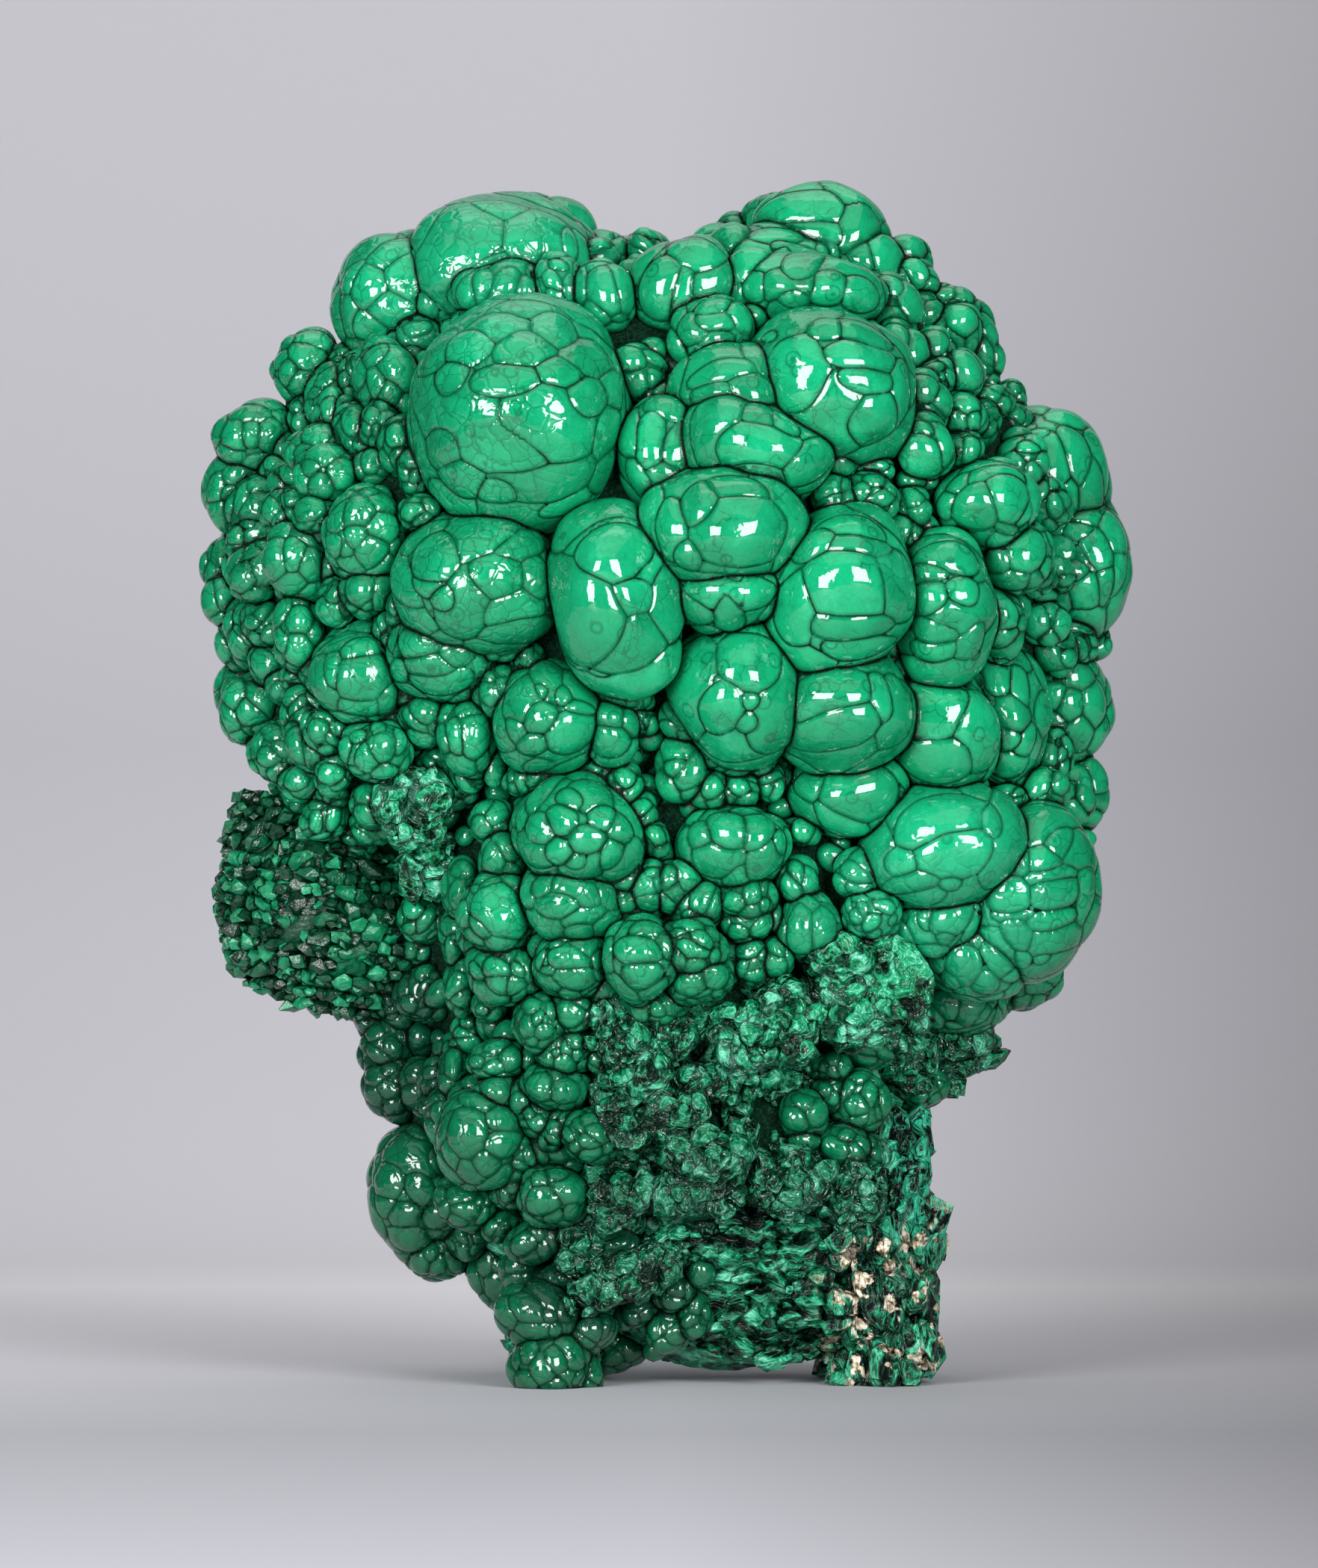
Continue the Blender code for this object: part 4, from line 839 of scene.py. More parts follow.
broken = broken_side()
print(len(broken), "lumps, flakes and splinters")

# %% [markdown]
# The far side is packed with heads of the same sizes, the large ones first, so that the small ones
# fill what is left. Placing them by hand would gain nothing there. No rear head shows past the near
# side's outline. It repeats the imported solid's seeded packing, so both have one outline.

# %% what shows past the outline
OUTLINE_STEPS = 16      # points of a rear head's rim that are tried against the outline


def shows(spot, radius):
    """Whether a rear head would show past the outline of the near side."""
    for k in range(OUTLINE_STEPS):
        x = spot.x + radius * math.cos(math.tau * k / OUTLINE_STEPS)
        z = spot.z + radius * math.sin(math.tau * k / OUTLINE_STEPS)
        if not (in_core(x, z, 1.0) or any(within(x, z, row, 0.5) for row in NEAR_ROWS)):
            return True
    return False

# %% rear heads
REAR_SIZES = (17.0, 14.0, 11.5, 9.5, 8.0, 6.5, 5.5)
REAR_TRIES = 700        # random places that are tried for each size
REAR_PACKING = 0.80     # how near two rear heads may stand, as a share of their radii
REAR_LIMIT = 73.0       # depth that no rear head passes
REAR_START = -13.0      # depth from which rear heads stand
CROWN = 236.0           # height from which they may stand well in front of the core's back
LOWEST_REAR = 34.0      # height that they stay above
REAR_REGIONS = ("head", "head", "head", "neck", "right_cheek", "left_cheek", "stem")


def rear_heads():
    """Heads packed over the far side: their places and radii."""
    rng = random.Random(41)
    kept = []
    for x, z, a, b, _, stand in NEAR_ROWS:
        reach = max(a, b, DEPTH_SHARE * (a + b))
        kept.append((Vector((x, head_depth(x, z, stand), z)), reach))
    heads = []
    for size in REAR_SIZES:
        for _ in range(REAR_TRIES):
            cx, cy, cz, rx, ry, rz = CORES[rng.choice(REAR_REGIONS)]
            turn = rng.uniform(-0.7, math.pi + 0.7)
            rise = rng.uniform(-0.95, 1.0)
            flat = math.sqrt(1.0 - rise * rise)
            spot = Vector((
                cx + rx * 1.02 * flat * math.cos(turn),
                cy + ry * 1.05 * flat * math.sin(turn),
                cz + rz * 1.02 * rise,
            ))
            stretch = rng.uniform(0.85, 1.18)
            radius = size * rng.uniform(0.9, 1.1)
            tilt = rng.uniform(-30, 30)
            if spot.y < REAR_START or spot.y + radius > REAR_LIMIT:
                continue
            if spot.z < LOWEST_REAR + radius:
                continue
            sunk = skin_depth(spot.x, spot.z, 1) - spot.y
            if spot.z < CROWN and sunk > 0.5 * radius + 14.0:
                continue
            if any((spot - other).length < REAR_PACKING * (radius + reach) for other, reach in kept):
                continue
            if shows(spot, radius * max(1.0, stretch)):
                continue
            kept.append((spot, radius))
            heads.append((spot, Vector((radius, radius, radius * stretch)), tilt))
    return heads


def far_side():
    """Rear heads with their plates."""
    rng = random.Random(5)
    lobes = []
    for centre, radii, tilt in rear_heads():
        detail = fineness(max(radii), REAR_FACET)
        head = Lobe(centre, radii, level_turn(tilt), GLOSSY, detail)
        outward = (centre - Vector((0.0, -8.0, centre.z * 0.6 + 56.0))).normalized()
        lobes.append(head)
        lobes.extend(grown_plates(head, outward, rng, -0.1, REAR_FACET))
    return lobes


far = far_side()
print(len(far), "heads and plates on the far side")

# %% [markdown]
# Small balls fill the gaps that the heads leave on the core, so the crevices are never bare. Each
# is tried against every lobe at once, which numpy does quickly.

# %% fillers
FILLER_SIZES = (5.6, 4.4, 3.3, 2.5)
FILLER_TRIES = 1500     # random places that are tried for each size
FILLER_REGIONS = ("head", "head", "neck", "stem", "right_cheek", "left_cheek")
FILLER_PACKING = 0.62   # how near two of them may stand, as a share of their radii
LOWEST_FILLER = 42.0    # height that they stay above
BARE_HEIGHT = 92.0      # below it, in front and to the right of BARE_LEFT, the stone is broken
BARE_LEFT = -6.0


def fillers(lobes):
    """Small balls on the core wherever no head stands."""
    rng = random.Random(23)
    centres = np.array([lobe.centre for lobe in lobes])
    reaches = np.array([sum(lobe.radii) / 3.0 for lobe in lobes])
    turns = np.array([np.array(lobe.turn) for lobe in lobes])
    sizes = np.array([lobe.radii for lobe in lobes])
    found = []
    spots = []
    for size in FILLER_SIZES:
        for _ in range(FILLER_TRIES):
            cx, cy, cz, rx, ry, rz = CORES[rng.choice(FILLER_REGIONS)]
            turn = rng.uniform(0.0, 2.0 * math.pi)
            rise = rng.uniform(-0.95, 1.0)
            flat = math.sqrt(1.0 - rise * rise)
            push = rng.uniform(0.0, 0.6) * size
            x = cx + (rx + push) * flat * math.cos(turn)
            y = cy + (ry + push) * flat * math.sin(turn)
            z = cz + (rz + push) * rise
            if z < LOWEST_FILLER or (z < BARE_HEIGHT and x > BARE_LEFT and y < 0.0):
                continue
            spot = np.array((x, y, z))
            offset = spot - centres
            local = np.einsum("nji,nj->ni", turns, offset) / sizes
            if (np.linalg.norm(local, axis=1) < 1.0 + 0.1 * size / reaches).any():
                continue
            if any(math.dist(spot, other) < FILLER_PACKING * (size + reach) for other, reach in spots):
                continue
            if shows(Vector(spot), size):
                continue
            spots.append((tuple(spot), size))
            radii = Vector((size * rng.uniform(0.85, 1.2), size, size * rng.uniform(0.85, 1.2)))
            ball = Lobe(Vector(spot), radii, level_turn(rng.uniform(-40, 40)), FILLER, 3)
            outward = Vector((flat * math.cos(turn), flat * math.sin(turn), rise))
            found.append(ball)
            found.extend(grown_plates(ball, outward, rng, 0.1))
    return found


balls = fillers(near + broken + far)
print(len(balls), "fillers and their plates")

# %% [markdown]
# The spur is a pile of small blocky crystals in rough layers. A bump pattern would leave its edge
# smooth, so every grain is a block of its own, snapped to the nearest layer.

# %% the spur's grains
GRAIN_SPACING = 2.2
GRAIN_LAYER = 3.1       # distance between two layers
LAYER_SLOPE = 0.12      # how much the layers fall for each millimetre to the right
GRAIN_SIZES = (1.3, 1.6, 2.0, 2.4, 2.8)
SPUR_TIP = -97.0        # grains left of this stay inside the spur, to keep its outline


def spur_grains():
    """Blocky grains over the spur."""
    rng = random.Random(7)
    masses = [(*mass[:3], *(size - SPUR_INSET for size in mass[3:])) for mass in SPUR]
    lobes = [Lobe(Vector(mass[:3]), Vector(mass[3:]), level_turn(0), GRAIN, 5) for mass in masses]
    cores = list(CORES.values())
    for spot, way in over(SPUR, GRAIN_SPACING, rng):
        if buried(spot, cores, 0.9):
            continue
        level = GRAIN_LAYER * round((spot.z + LAYER_SLOPE * spot.x) / GRAIN_LAYER)
        layer = level - LAYER_SLOPE * spot.x
        spot.z = layer + rng.uniform(-0.4, 0.4)
        size = rng.choice(GRAIN_SIZES)
        shares = (rng.uniform(0.8, 1.25), rng.uniform(0.8, 1.25), rng.uniform(0.6, 0.9))
        radii = Vector([size * share for share in shares])
        reach = -0.7 * size if spot.x < SPUR_TIP else rng.uniform(-0.35, 0.35) * size
        lobes.append(Lobe(spot + way * reach, radii, random_turn(rng, 30), GRAIN, 0))
    return lobes


grains = spur_grains()
print(len(grains), "grains")

# %% [markdown]
# The foot and the broken underside are the rock that the malachite grew on. Craggy chunks lie over
# the foot's lumps: tall ones on its right side, and flat ones below the stem.

# %% the foot's chunks
LUMP_SPACING = 4.4
RIGHT_FOOT_SPACING = 3.6
FOOT_SPACING = 4.2
ARCH = (2.0, 36.0)      # x of the open arch between the feet
ARCH_TOP = 9.0
CHUNK_TOP = 62.0        # height that the chunks stay under
LEFT_FOOT_FRONT = -8.0  # left of this the front has heads and no chunks
UPRIGHT_FROM = 40.0     # right of this the chunks stand on end


def foot_chunks():
    """Craggy chunks over the right foot and the underside of the stem."""
    rng = random.Random(19)
    lobes = []
    for x, z, a, b, tilt, stand in FOOT_LUMPS:
        near = Vector((x, skin_depth(x, z, -1) - stand + 4.0, z))
        far = Vector((x, skin_depth(x, z, 1) - 4.0, z))
        lobes.append(Lobe(near, Vector((a, 0.6 * (a + b), b)), level_turn(tilt), CHUNK, 0))
        lobes.append(Lobe(far, Vector((a, 0.5 * (a + b), b)), level_turn(-tilt), CHUNK, 0))
    lumps = [(*lobe.centre, *lobe.radii) for lobe in lobes]
    grounds = (
        (lumps, LUMP_SPACING), ([CORES["right_foot"]], RIGHT_FOOT_SPACING),
        ([CORES["foot"]], FOOT_SPACING), ([CORES["left_foot"]], FOOT_SPACING),
    )
    for masses, spacing in grounds:
        for spot, way in over(masses, spacing, rng):
            if spot.z < ARCH_TOP and ARCH[0] < spot.x < ARCH[1] or spot.z < 0.0:
                continue
            if spot.y < 0.0 and spot.x < LEFT_FOOT_FRONT or spot.z > CHUNK_TOP:
                continue
            size = 1.3 + 4.0 * rng.random() ** 2
            upright = spot.x > UPRIGHT_FROM
            tall = rng.uniform(0.8, 1.9) if upright else rng.uniform(0.4, 0.9)
            radii = Vector((size, size * rng.uniform(0.7, 1.1), size * tall))
            place = spot + way * rng.uniform(-1.2, 0.9)
            lobes.append(Lobe(place, radii, random_turn(rng, 20), CHUNK, 0))
    return lobes


chunks = foot_chunks()
print(len(chunks), "chunks")

# %% all lobes
cores = [
    Lobe(Vector(mass[:3]), Vector(mass[3:]), level_turn(0), CORE, CORE_DETAIL[name])
    for name, mass in CORES.items()
]
lobes = cores + near + broken + far + balls + grains + chunks
print(len(lobes), "lobes in all")

# %% [markdown]
# Each lobe becomes a closed mesh: a ball, or for detail 0 a faceted block. One ball of each
# fineness is made and copied, which is much quicker than making thousands. A remesh would round
# the creases off, so the meshes are joined by an exact union, and the faces carry the number of
# their lobe through it.

# %% balls and blocks
BLOCKS = 48             # different blocks to draw from


def ball(detail):
    """A ball of one unit with its facets."""
    bm = bmesh.new()
    bmesh.ops.create_icosphere(bm, subdivisions=detail, radius=1.0)
    return bm


def block(rng):
    """A faceted block of about one unit: the hull of a few points near a ball."""
    bm = bmesh.new()
    for way in spread(rng.choice((10, 14, 18)), rng):
        bm.verts.new(way * rng.uniform(0.75, 1.12))
    hull = bmesh.ops.convex_hull(bm, input=bm.verts[:])
    spare = [item for item in hull["geom_interior"] if isinstance(item, bmesh.types.BMVert)]
    bmesh.ops.delete(bm, geom=spare, context="VERTS")
    bmesh.ops.recalc_face_normals(bm, faces=bm.faces[:])
    return bm


def templates(rng):
    """Balls of every fineness and a few dozen blocks, as meshes to copy."""
    kinds = {detail: [ball(detail)] for detail in range(COARSEST, FINEST + 1)}
    kinds[0] = [block(rng) for _ in range(BLOCKS)]
    made = {}
    for detail, shapes in kinds.items():
        made[detail] = []
        for bm in shapes:
            mesh = bpy.data.meshes.new("template")
            bm.to_mesh(mesh)
            bm.free()
            made[detail].append(mesh)
    return made

# %% union
def lobe_object(lobe, number, shapes, rng):
    """One lobe as an object."""
    size = Matrix.Diagonal([radius * MM for radius in lobe.radii]).to_4x4()
    height = Vector((0.0, 0.0, FOOT_CUT))
    mesh = rng.choice(shapes[lobe.detail]).copy()
    mesh.transform(Matrix.Translation((lobe.centre - height) * MM) @ lobe.turn.to_4x4() @ size)
    owner = mesh.attributes.new("lobe", "INT", "FACE")
    owner.data.foreach_set("value", np.full(len(mesh.polygons), number, dtype=np.int32))
    return bpy.data.objects.new("lobe", mesh)


def union(lobes):
    """All lobes joined in one solid mesh."""
    rng = random.Random(3)
    shapes = templates(rng)
    group = bpy.data.collections.new("lobes")
    first = lobe_object(lobes[0], 0, shapes, rng)
    bpy.context.scene.collection.objects.link(first)
    bpy.context.scene.collection.children.link(group)
    for number, lobe in enumerate(lobes[1:], 1):
        group.objects.link(lobe_object(lobe, number, shapes, rng))
    joined = first.modifiers.new("joined", "BOOLEAN")
    joined.operation = "UNION"
    joined.solver = "MANIFOLD"
    joined.operand_type = "COLLECTION"
    joined.collection = group
    graph = bpy.context.evaluated_depsgraph_get()
    mesh = bpy.data.meshes.new_from_object(first.evaluated_get(graph))
    used = [first, *group.objects]
    spare = [item.data for item in used] + [shape for made in shapes.values() for shape in made]
    bpy.data.batch_remove(used + [group])
    bpy.data.batch_remove(spare)
    return mesh


stone_mesh = union(lobes)
print(len(stone_mesh.polygons), "facets after the union")

# %% [markdown]
# Where lobes close round a hollow, the union leaves a skin inside that nobody can see. Only the
# largest connected skin is kept. The feet are cut flat first, because the specimen stands on them.

# %% the outer skin
def main_island(mesh):
    """Which vertices belong to the largest connected skin."""
    ends = np.empty(len(mesh.edges) * 2, dtype=np.int32)
    mesh.edges.foreach_get("vertices", ends)
    one, two = ends.reshape(-1, 2).T
    label = np.arange(len(mesh.vertices))
    while True:
        least = np.minimum(label[one], label[two])
        lower = label.copy()
        np.minimum.at(lower, one, least)
        np.minimum.at(lower, two, least)
        lower = lower[lower]
        if (lower == label).all():
            break
        label = lower
    return label == np.bincount(label).argmax()


def outer_skin(mesh):
    """Keeps the outer skin, cut flat at the feet, and drops the skins of closed hollows."""
    bm = bmesh.new()
    bm.from_mesh(mesh)
    edge = bmesh.ops.bisect_plane(
        bm,
        geom=bm.verts[:] + bm.edges[:] + bm.faces[:],
        plane_co=(0.0, 0.0, 0.0),
        plane_no=(0.0, 0.0, 1.0),
        clear_inner=True,
        dist=0.001 * MM,
    )
    rim = [item for item in edge["geom_cut"] if isinstance(item, bmesh.types.BMEdge)]
    bmesh.ops.holes_fill(bm, edges=rim, sides=0)
    bmesh.ops.triangulate(bm, faces=bm.faces[:])
    bm.to_mesh(mesh)
    bm.free()
    stays = main_island(mesh)
    bm = bmesh.new()
    bm.from_mesh(mesh)
    spare = [vert for vert, kept in zip(bm.verts, stays) if not kept]
    bmesh.ops.delete(bm, geom=spare, context="VERTS")
    bm.to_mesh(mesh)
    bm.free()


outer_skin(stone_mesh)
print(len(stone_mesh.polygons), "facets in the outer skin")

# %% [markdown]
# Where two heads meet, the crease lies in shade, and dirt gathers there. An ambient occlusion node
# would find the creases only roughly, so they are measured on the mesh itself: `seam` is the way to
# the nearest crease in millimetres, `fold` is how sharply the stone folds there, and `height` is how
# far the point stands off the core. The materials paint from these the crease shade as dark rims,
# bands, and dirt mixed with painted shade.

# %% creases
def numbers_of(items, field, width, kind=np.float64):
    """One field of a mesh's items as an array."""
    flat = np.empty(len(items) * width, dtype=kind)
    items.foreach_get(field, flat)
    return flat.reshape(-1, width) if width > 1 else flat


def creases(mesh, numbers):
    """Ends of the edges between lobes, and how sharply the stone folds at each."""
    edge_of_corner = numbers_of(mesh.loops, "edge_index", 1, np.int32)
    face_of_corner = np.repeat(np.arange(len(mesh.polygons)), 3)
    sides = face_of_corner[np.argsort(edge_of_corner, kind="stable")].reshape(-1, 2)
    marked = np.flatnonzero(numbers[sides[:, 0]] != numbers[sides[:, 1]])
    normals = numbers_of(mesh.polygons, "normal", 3)
    fold = 1.0 - (normals[sides[marked, 0]] * normals[sides[marked, 1]]).sum(axis=1)
    ends = numbers_of(mesh.edges, "vertices", 2, np.int32)[marked]
    return ends, fold

# %% seam, fold and height
FAR_OFF = 12.0          # a seam further off than this has no effect


def measure(mesh, numbers):
    """Seam, fold and height for each vertex."""
    places = numbers_of(mesh.vertices, "co", 3) / MM
    ends, fold = creases(mesh, numbers)
    spots = np.concatenate((places[ends[:, 0]], places[ends[:, 1]], places[ends].mean(axis=1)))
    folds = np.tile(fold, 3)
    tree = kdtree.KDTree(len(spots))
    for k, spot in enumerate(spots):
        tree.insert(spot, k)
    tree.balance()
    seam = np.empty(len(places))
    nearest = np.empty(len(places), dtype=np.int64)
    for k, place in enumerate(places):
        _, nearest[k], seam[k] = tree.find(place)
    height = np.full(len(places), 50.0)
    for x, y, z, *radii in list(CORES.values()) + list(SPUR):
        local = places - np.array((x, y, z - FOOT_CUT))
        near = np.linalg.norm(local / radii, axis=1)
        steep = np.linalg.norm(local / np.square(radii), axis=1) + 1e-9
        height = np.minimum(height, near * (near - 1.0) / steep)
    return np.minimum(seam, FAR_OFF), folds[nearest], height


def store(mesh, name, values, domain="POINT"):
    """Writes one number per point or face as an attribute."""
    layer = mesh.attributes.new(name, "FLOAT", domain)
    layer.data.foreach_set("value", np.ascontiguousarray(values, dtype=np.float32))


lobe_of_face = numbers_of(stone_mesh.attributes["lobe"].data, "value", 1, np.int32)
kind_of_face = np.array([lobe.kind for lobe in lobes])[lobe_of_face]
seam, fold, height = measure(stone_mesh, lobe_of_face)
store(stone_mesh, "seam", seam)
store(stone_mesh, "fold", fold)
store(stone_mesh, "height", height)
store(stone_mesh, "tone", np.random.default_rng(11).random(len(lobes))[lobe_of_face], "FACE")
print("points within half a millimetre of a crease:", int((seam < 0.5).sum()))

# %% [markdown]
# No real head is a perfect ball. A Displace modifier could shift the skin, but the noise of
# mathutils gives it a way as well as an amount, and more of it where the stone is rough. That noise
# is seeded from the clock, so it is given a seed of its own here.

# %% unevenness
SWELLS = ((19.0, 1.8), (6.5, 0.45))     # size of the waves and how far they move the stone
CRAGS = (3.4, 0.9)                      # the same for the rough stone's finer waves
STILL_BELOW = 4.0                       # towards the feet the noise fades out from this height


def uneven(mesh, rough):
    """Moves the points by slow and fine noise, more where the stone is rough; the feet stay flat."""
    noise.seed_set(12)
    (slow, far_push), (quick, near_push) = SWELLS
    crag, crag_push = CRAGS
    for vert, coarse in zip(mesh.vertices, rough):
        place = vert.co / MM
        move = noise.noise_vector(place / slow) * far_push
        move += noise.noise_vector(place / quick) * near_push
        if coarse > 0.0:
            move += noise.noise_vector(place / crag) * crag_push * coarse
        hold = min(1.0, vert.co.z / (STILL_BELOW * MM))
        vert.co += move * MM * hold


rough = np.zeros(len(stone_mesh.vertices))
corners = numbers_of(stone_mesh.loops, "vertex_index", 1, np.int32)
rough[corners] = np.isin(np.repeat(kind_of_face, 3), (CORE, BROKEN_FACE, CHUNK))
uneven(stone_mesh, rough)
print(int(rough.sum()), "points of rough stone")

# %% sharp creases
FACET_ANGLE = 0.5       # grains and chunks keep edges sharper than this, in radians


def crease_edges(mesh, kinds_of_faces):
    """Creases between lobes are sharp; blocks and chunks are faceted."""
    bm = bmesh.new()
    bm.from_mesh(mesh)
    layer = bm.faces.layers.int["lobe"]
    for face in bm.faces:
        face.smooth = True
    for edge in bm.edges:
        if len(edge.link_faces) == 2:
            one, two = edge.link_faces
            differs = one[layer] != two[layer]
            block_edge = kinds_of_faces[one.index] in (GRAIN, CHUNK)
            edge.smooth = not (differs or block_edge and edge.calc_face_angle(0.0) > FACET_ANGLE)
    bm.to_mesh(mesh)
    bm.free()


crease_edges(stone_mesh, kind_of_face)

# %% [markdown]
# ## Materials
# Every finish is one shader, built from nodes. They could be wired by hand in the Shader editor; a
# script needs one function for all kinds of node, which sets a node up, fills its inputs and gives
# back an output for the next one. Colours are sRGB hex values turned to linear. Object coordinates
# are scaled by 1000, so pattern sizes are in millimetres.

# %% colours and nodes
SMOOTH = {"interpolation_type": "SMOOTHSTEP"}
COLOURS = {"data_type": "RGBA"}


def colour(hexadecimal):
    """Linear RGBA from an sRGB hex colour."""
    channels = [int(hexadecimal[i:i + 2], 16) / 255.0 for i in (1, 3, 5)]
    linear = [c / 12.92 if c <= 0.04045 else ((c + 0.055) / 1.055) ** 2.4 for c in channels]
    return (*linear, 1.0)


def add(tree, kind, *values, out="", stops=(), **settings):
    """Adds a node and gives back its first output in use, or the one that `out` names.

    The values go to the inputs that the settings leave in use, in their order: an output of another
    node is linked, and None leaves an input as it is. `stops` are the colours of a ramp.
    """
    node = tree.nodes.new("ShaderNode" + kind)
    for name, value in settings.items():
        setattr(node, name, value)
    elements = node.color_ramp.elements if stops else ()
    while len(elements) < len(stops):
        elements.new(1.0)
    for element, (place, shade) in zip(elements, stops):
        element.position = place
        element.color = colour(shade)
    for socket, value in zip([item for item in node.inputs if item.enabled], values):
        if isinstance(value, bpy.types.NodeSocket):
            tree.links.new(value, socket)
        elif value is not None:
            socket.default_value = value
    return next(item for item in node.outputs if item.enabled and out in ("", item.name))


# %% patterns that several finishes share
def millimetres(tree):
    """Object coordinates in millimetres."""
    place = add(tree, "TexCoord", out="Object")
    return add(tree, "VectorMath", place, 1.0 / MM, operation="SCALE")


def warped(tree, where, size, push):
    """Coordinates pushed about by noise, so that no pattern runs straight."""
    sway = add(tree, "TexNoise", where, 1.0 / size, out="Color")
    sway = add(tree, "VectorMath", sway, (0.5, 0.5, 0.5), operation="SUBTRACT")
    sway = add(tree, "VectorMath", sway, push, operation="SCALE")
    return add(tree, "VectorMath", where, sway, operation="ADD")


def crumple(tree, where, coarse=1.0):
    """Folded ridges at three sizes, from 0 in the hollows to 1 on the sharpest ridges."""
    total = 0.0
    for size, share in ((5.0, 0.48), (2.1, 0.36), (0.9, 0.16)):
        wave = add(tree, "TexNoise", where, 1.0 / (size * coarse))
        wave = add(tree, "Math", wave, 0.5, operation="SUBTRACT")
        wave = add(tree, "Math", wave, operation="ABSOLUTE")
        ridge = add(tree, "MapRange", wave, 0.0, 0.15, 1.0, 0.0, **SMOOTH)
        total = add(tree, "Math", ridge, share, total, operation="MULTIPLY_ADD")
    return total


def patch_over(tree, where, x, z, wide, high):
    """A share that is 1 in an upright ellipse and fades out at its rim."""
    shift = (-x / wide, 0.0, -z / high)
    local = add(tree, "Mapping", where, shift, None, (1.0 / wide, 0.0, 1.0 / high))
    away = add(tree, "VectorMath", local, operation="LENGTH")
    return add(tree, "MapRange", away, 0.75, 1.15, 1.0, 0.0, **SMOOTH)


def painted(tree, base, layers):
    """Colours laid one over the other; each layer has the share that it covers, and its colour."""
    for share, shade in layers:
        base = add(tree, "Mix", share, base, colour(shade), **COLOURS)
    return base


# %% a finish from its parts
LEAST_SHINE = 0.05      # specular level of loose dust and of a crease that light can't get into
FULL_SHINE = 0.5


def stone(name):
    """An empty Principled material and its node tree."""
    material = bpy.data.materials.new(name)
    material.use_nodes = True
    return material, material.node_tree


def dress(tree, base, roughness, relief, ior, dull=None):
    """Joins a colour, a roughness and a relief in millimetres to the shader.

    `dull` is where the surface hardly shines; it differs from place to place, so it is linked.
    """
    shader = tree.nodes["Principled BSDF"]
    tree.links.new(base, shader.inputs["Base Color"])
    tree.links.new(roughness, shader.inputs["Roughness"])
    tree.links.new(add(tree, "Bump", None, MM, None, relief), shader.inputs["Normal"])
    shader.inputs["IOR"].default_value = ior
    if dull is not None:
        drop = LEAST_SHINE - FULL_SHINE
        shine = add(tree, "Math", dull, drop, FULL_SHINE, operation="MULTIPLY_ADD")
        tree.links.new(shine, shader.inputs["Specular IOR Level"])


# %% [markdown]
# Malachite heads grow as radiating fibres, layer on layer, in copper-rich water. Their skin is
# naturally smooth and glassy, with an index of refraction near 1.66. The eye sees a mid green,
# cloudy bands, a net of fine cell borders, small ringed eyes, and brown dirt deep down. Shade is
# painted in too: dark in the creases, mixed with the dirt deep down, and deeper towards the foot;
# two patches get painted light. An image could hold all this only for one view, so it is worked out
# from the measured creases and from noise, whose sizes are those of the real lumps and cells.

# %% dirt and painted shade in the creases
def dirt_and_shade_share(tree, seam, where):
    """How much dirt and painted shade lies here: in the sharp creases between heads, and close to the
    core.
    """
    patchy = add(tree, "TexNoise", where, 1.0 / 4.0, 3.0)
    fold = add(tree, "Attribute", attribute_name="fold", out="Fac")
    reach = add(tree, "Math", patchy, 1.5, 0.25, operation="MULTIPLY_ADD")
    wide = add(tree, "MapRange", fold, 0.35, 0.95, 0.01, 0.6, **SMOOTH)
    reach = add(tree, "Math", wide, reach, operation="MULTIPLY")
    close = add(tree, "Math", seam, reach, operation="DIVIDE")
    close = add(tree, "MapRange", close, 0.4, 1.3, 1.0, 0.0, **SMOOTH)
    # In the creases and close to the core this mask carries painted shade as well as dirt.
    height = add(tree, "Attribute", attribute_name="height", out="Fac")
    deep = add(tree, "Math", patchy, 5.0, height, operation="MULTIPLY_ADD")
    deep = add(tree, "MapRange", deep, 1.0, 5.0, 1.0, 0.0, **SMOOTH)
    return add(tree, "Math", close, deep, operation="MAXIMUM")


# %% eyes
EYE_SPACING = 7.0
RINGS_EACH = 4.6        # turns of the ring wave for each millimetre, in radians


def rings_of(tree, where, tone):
    """Eyes: rings round scattered points, where a bundle of fibres comes to the surface."""
    away = add(tree, "TexVoronoi", where, 1.0 / EYE_SPACING)
    away = add(tree, "Math", away, EYE_SPACING, operation="MULTIPLY")
    wave = add(tree, "Math", away, RINGS_EACH, operation="MULTIPLY")
    wave = add(tree, "Math", wave, operation="SINE")
    ring = add(tree, "MapRange", wave, 0.0, 0.8, 0.0, 1.0, **SMOOTH)
    inside = add(tree, "MapRange", away, 1.9, 2.5, 1.0, 0.0, **SMOOTH)
    ring = add(tree, "Math", ring, inside, operation="MULTIPLY")
    lot = add(tree, "Math", tone, 7.3, operation="MULTIPLY")
    lot = add(tree, "Math", lot, operation="FRACT")
    chosen = add(tree, "MapRange", lot, 0.45, 0.55, 0.0, 1.0, **SMOOTH)
    ring = add(tree, "Math", ring, chosen, operation="MULTIPLY")
    return add(tree, "Math", ring, 0.5, operation="MULTIPLY")


# %% painted crease shade and clouds
def crease_shaded_green(tree, where, crack):
    """The heads' green with painted shade in the creases: near black in a crease, then through dark
    green to the green of the heads.
    """
    sway = add(tree, "TexNoise", where, 1.0 / 3.2)
    sway = add(tree, "Math", sway, 0.5, operation="SUBTRACT")
    rim = add(tree, "Math", sway, 0.3, crack, operation="MULTIPLY_ADD")
    rim = add(tree, "Math", rim, 6.0, operation="DIVIDE")
    return add(tree, "ValToRGB", rim, stops=[
        (0.0, "#010e08"), (0.04, "#032517"), (0.09, "#075a39"), (0.16, "#0f8a5a"), (0.4, "#13ab73"),
    ])


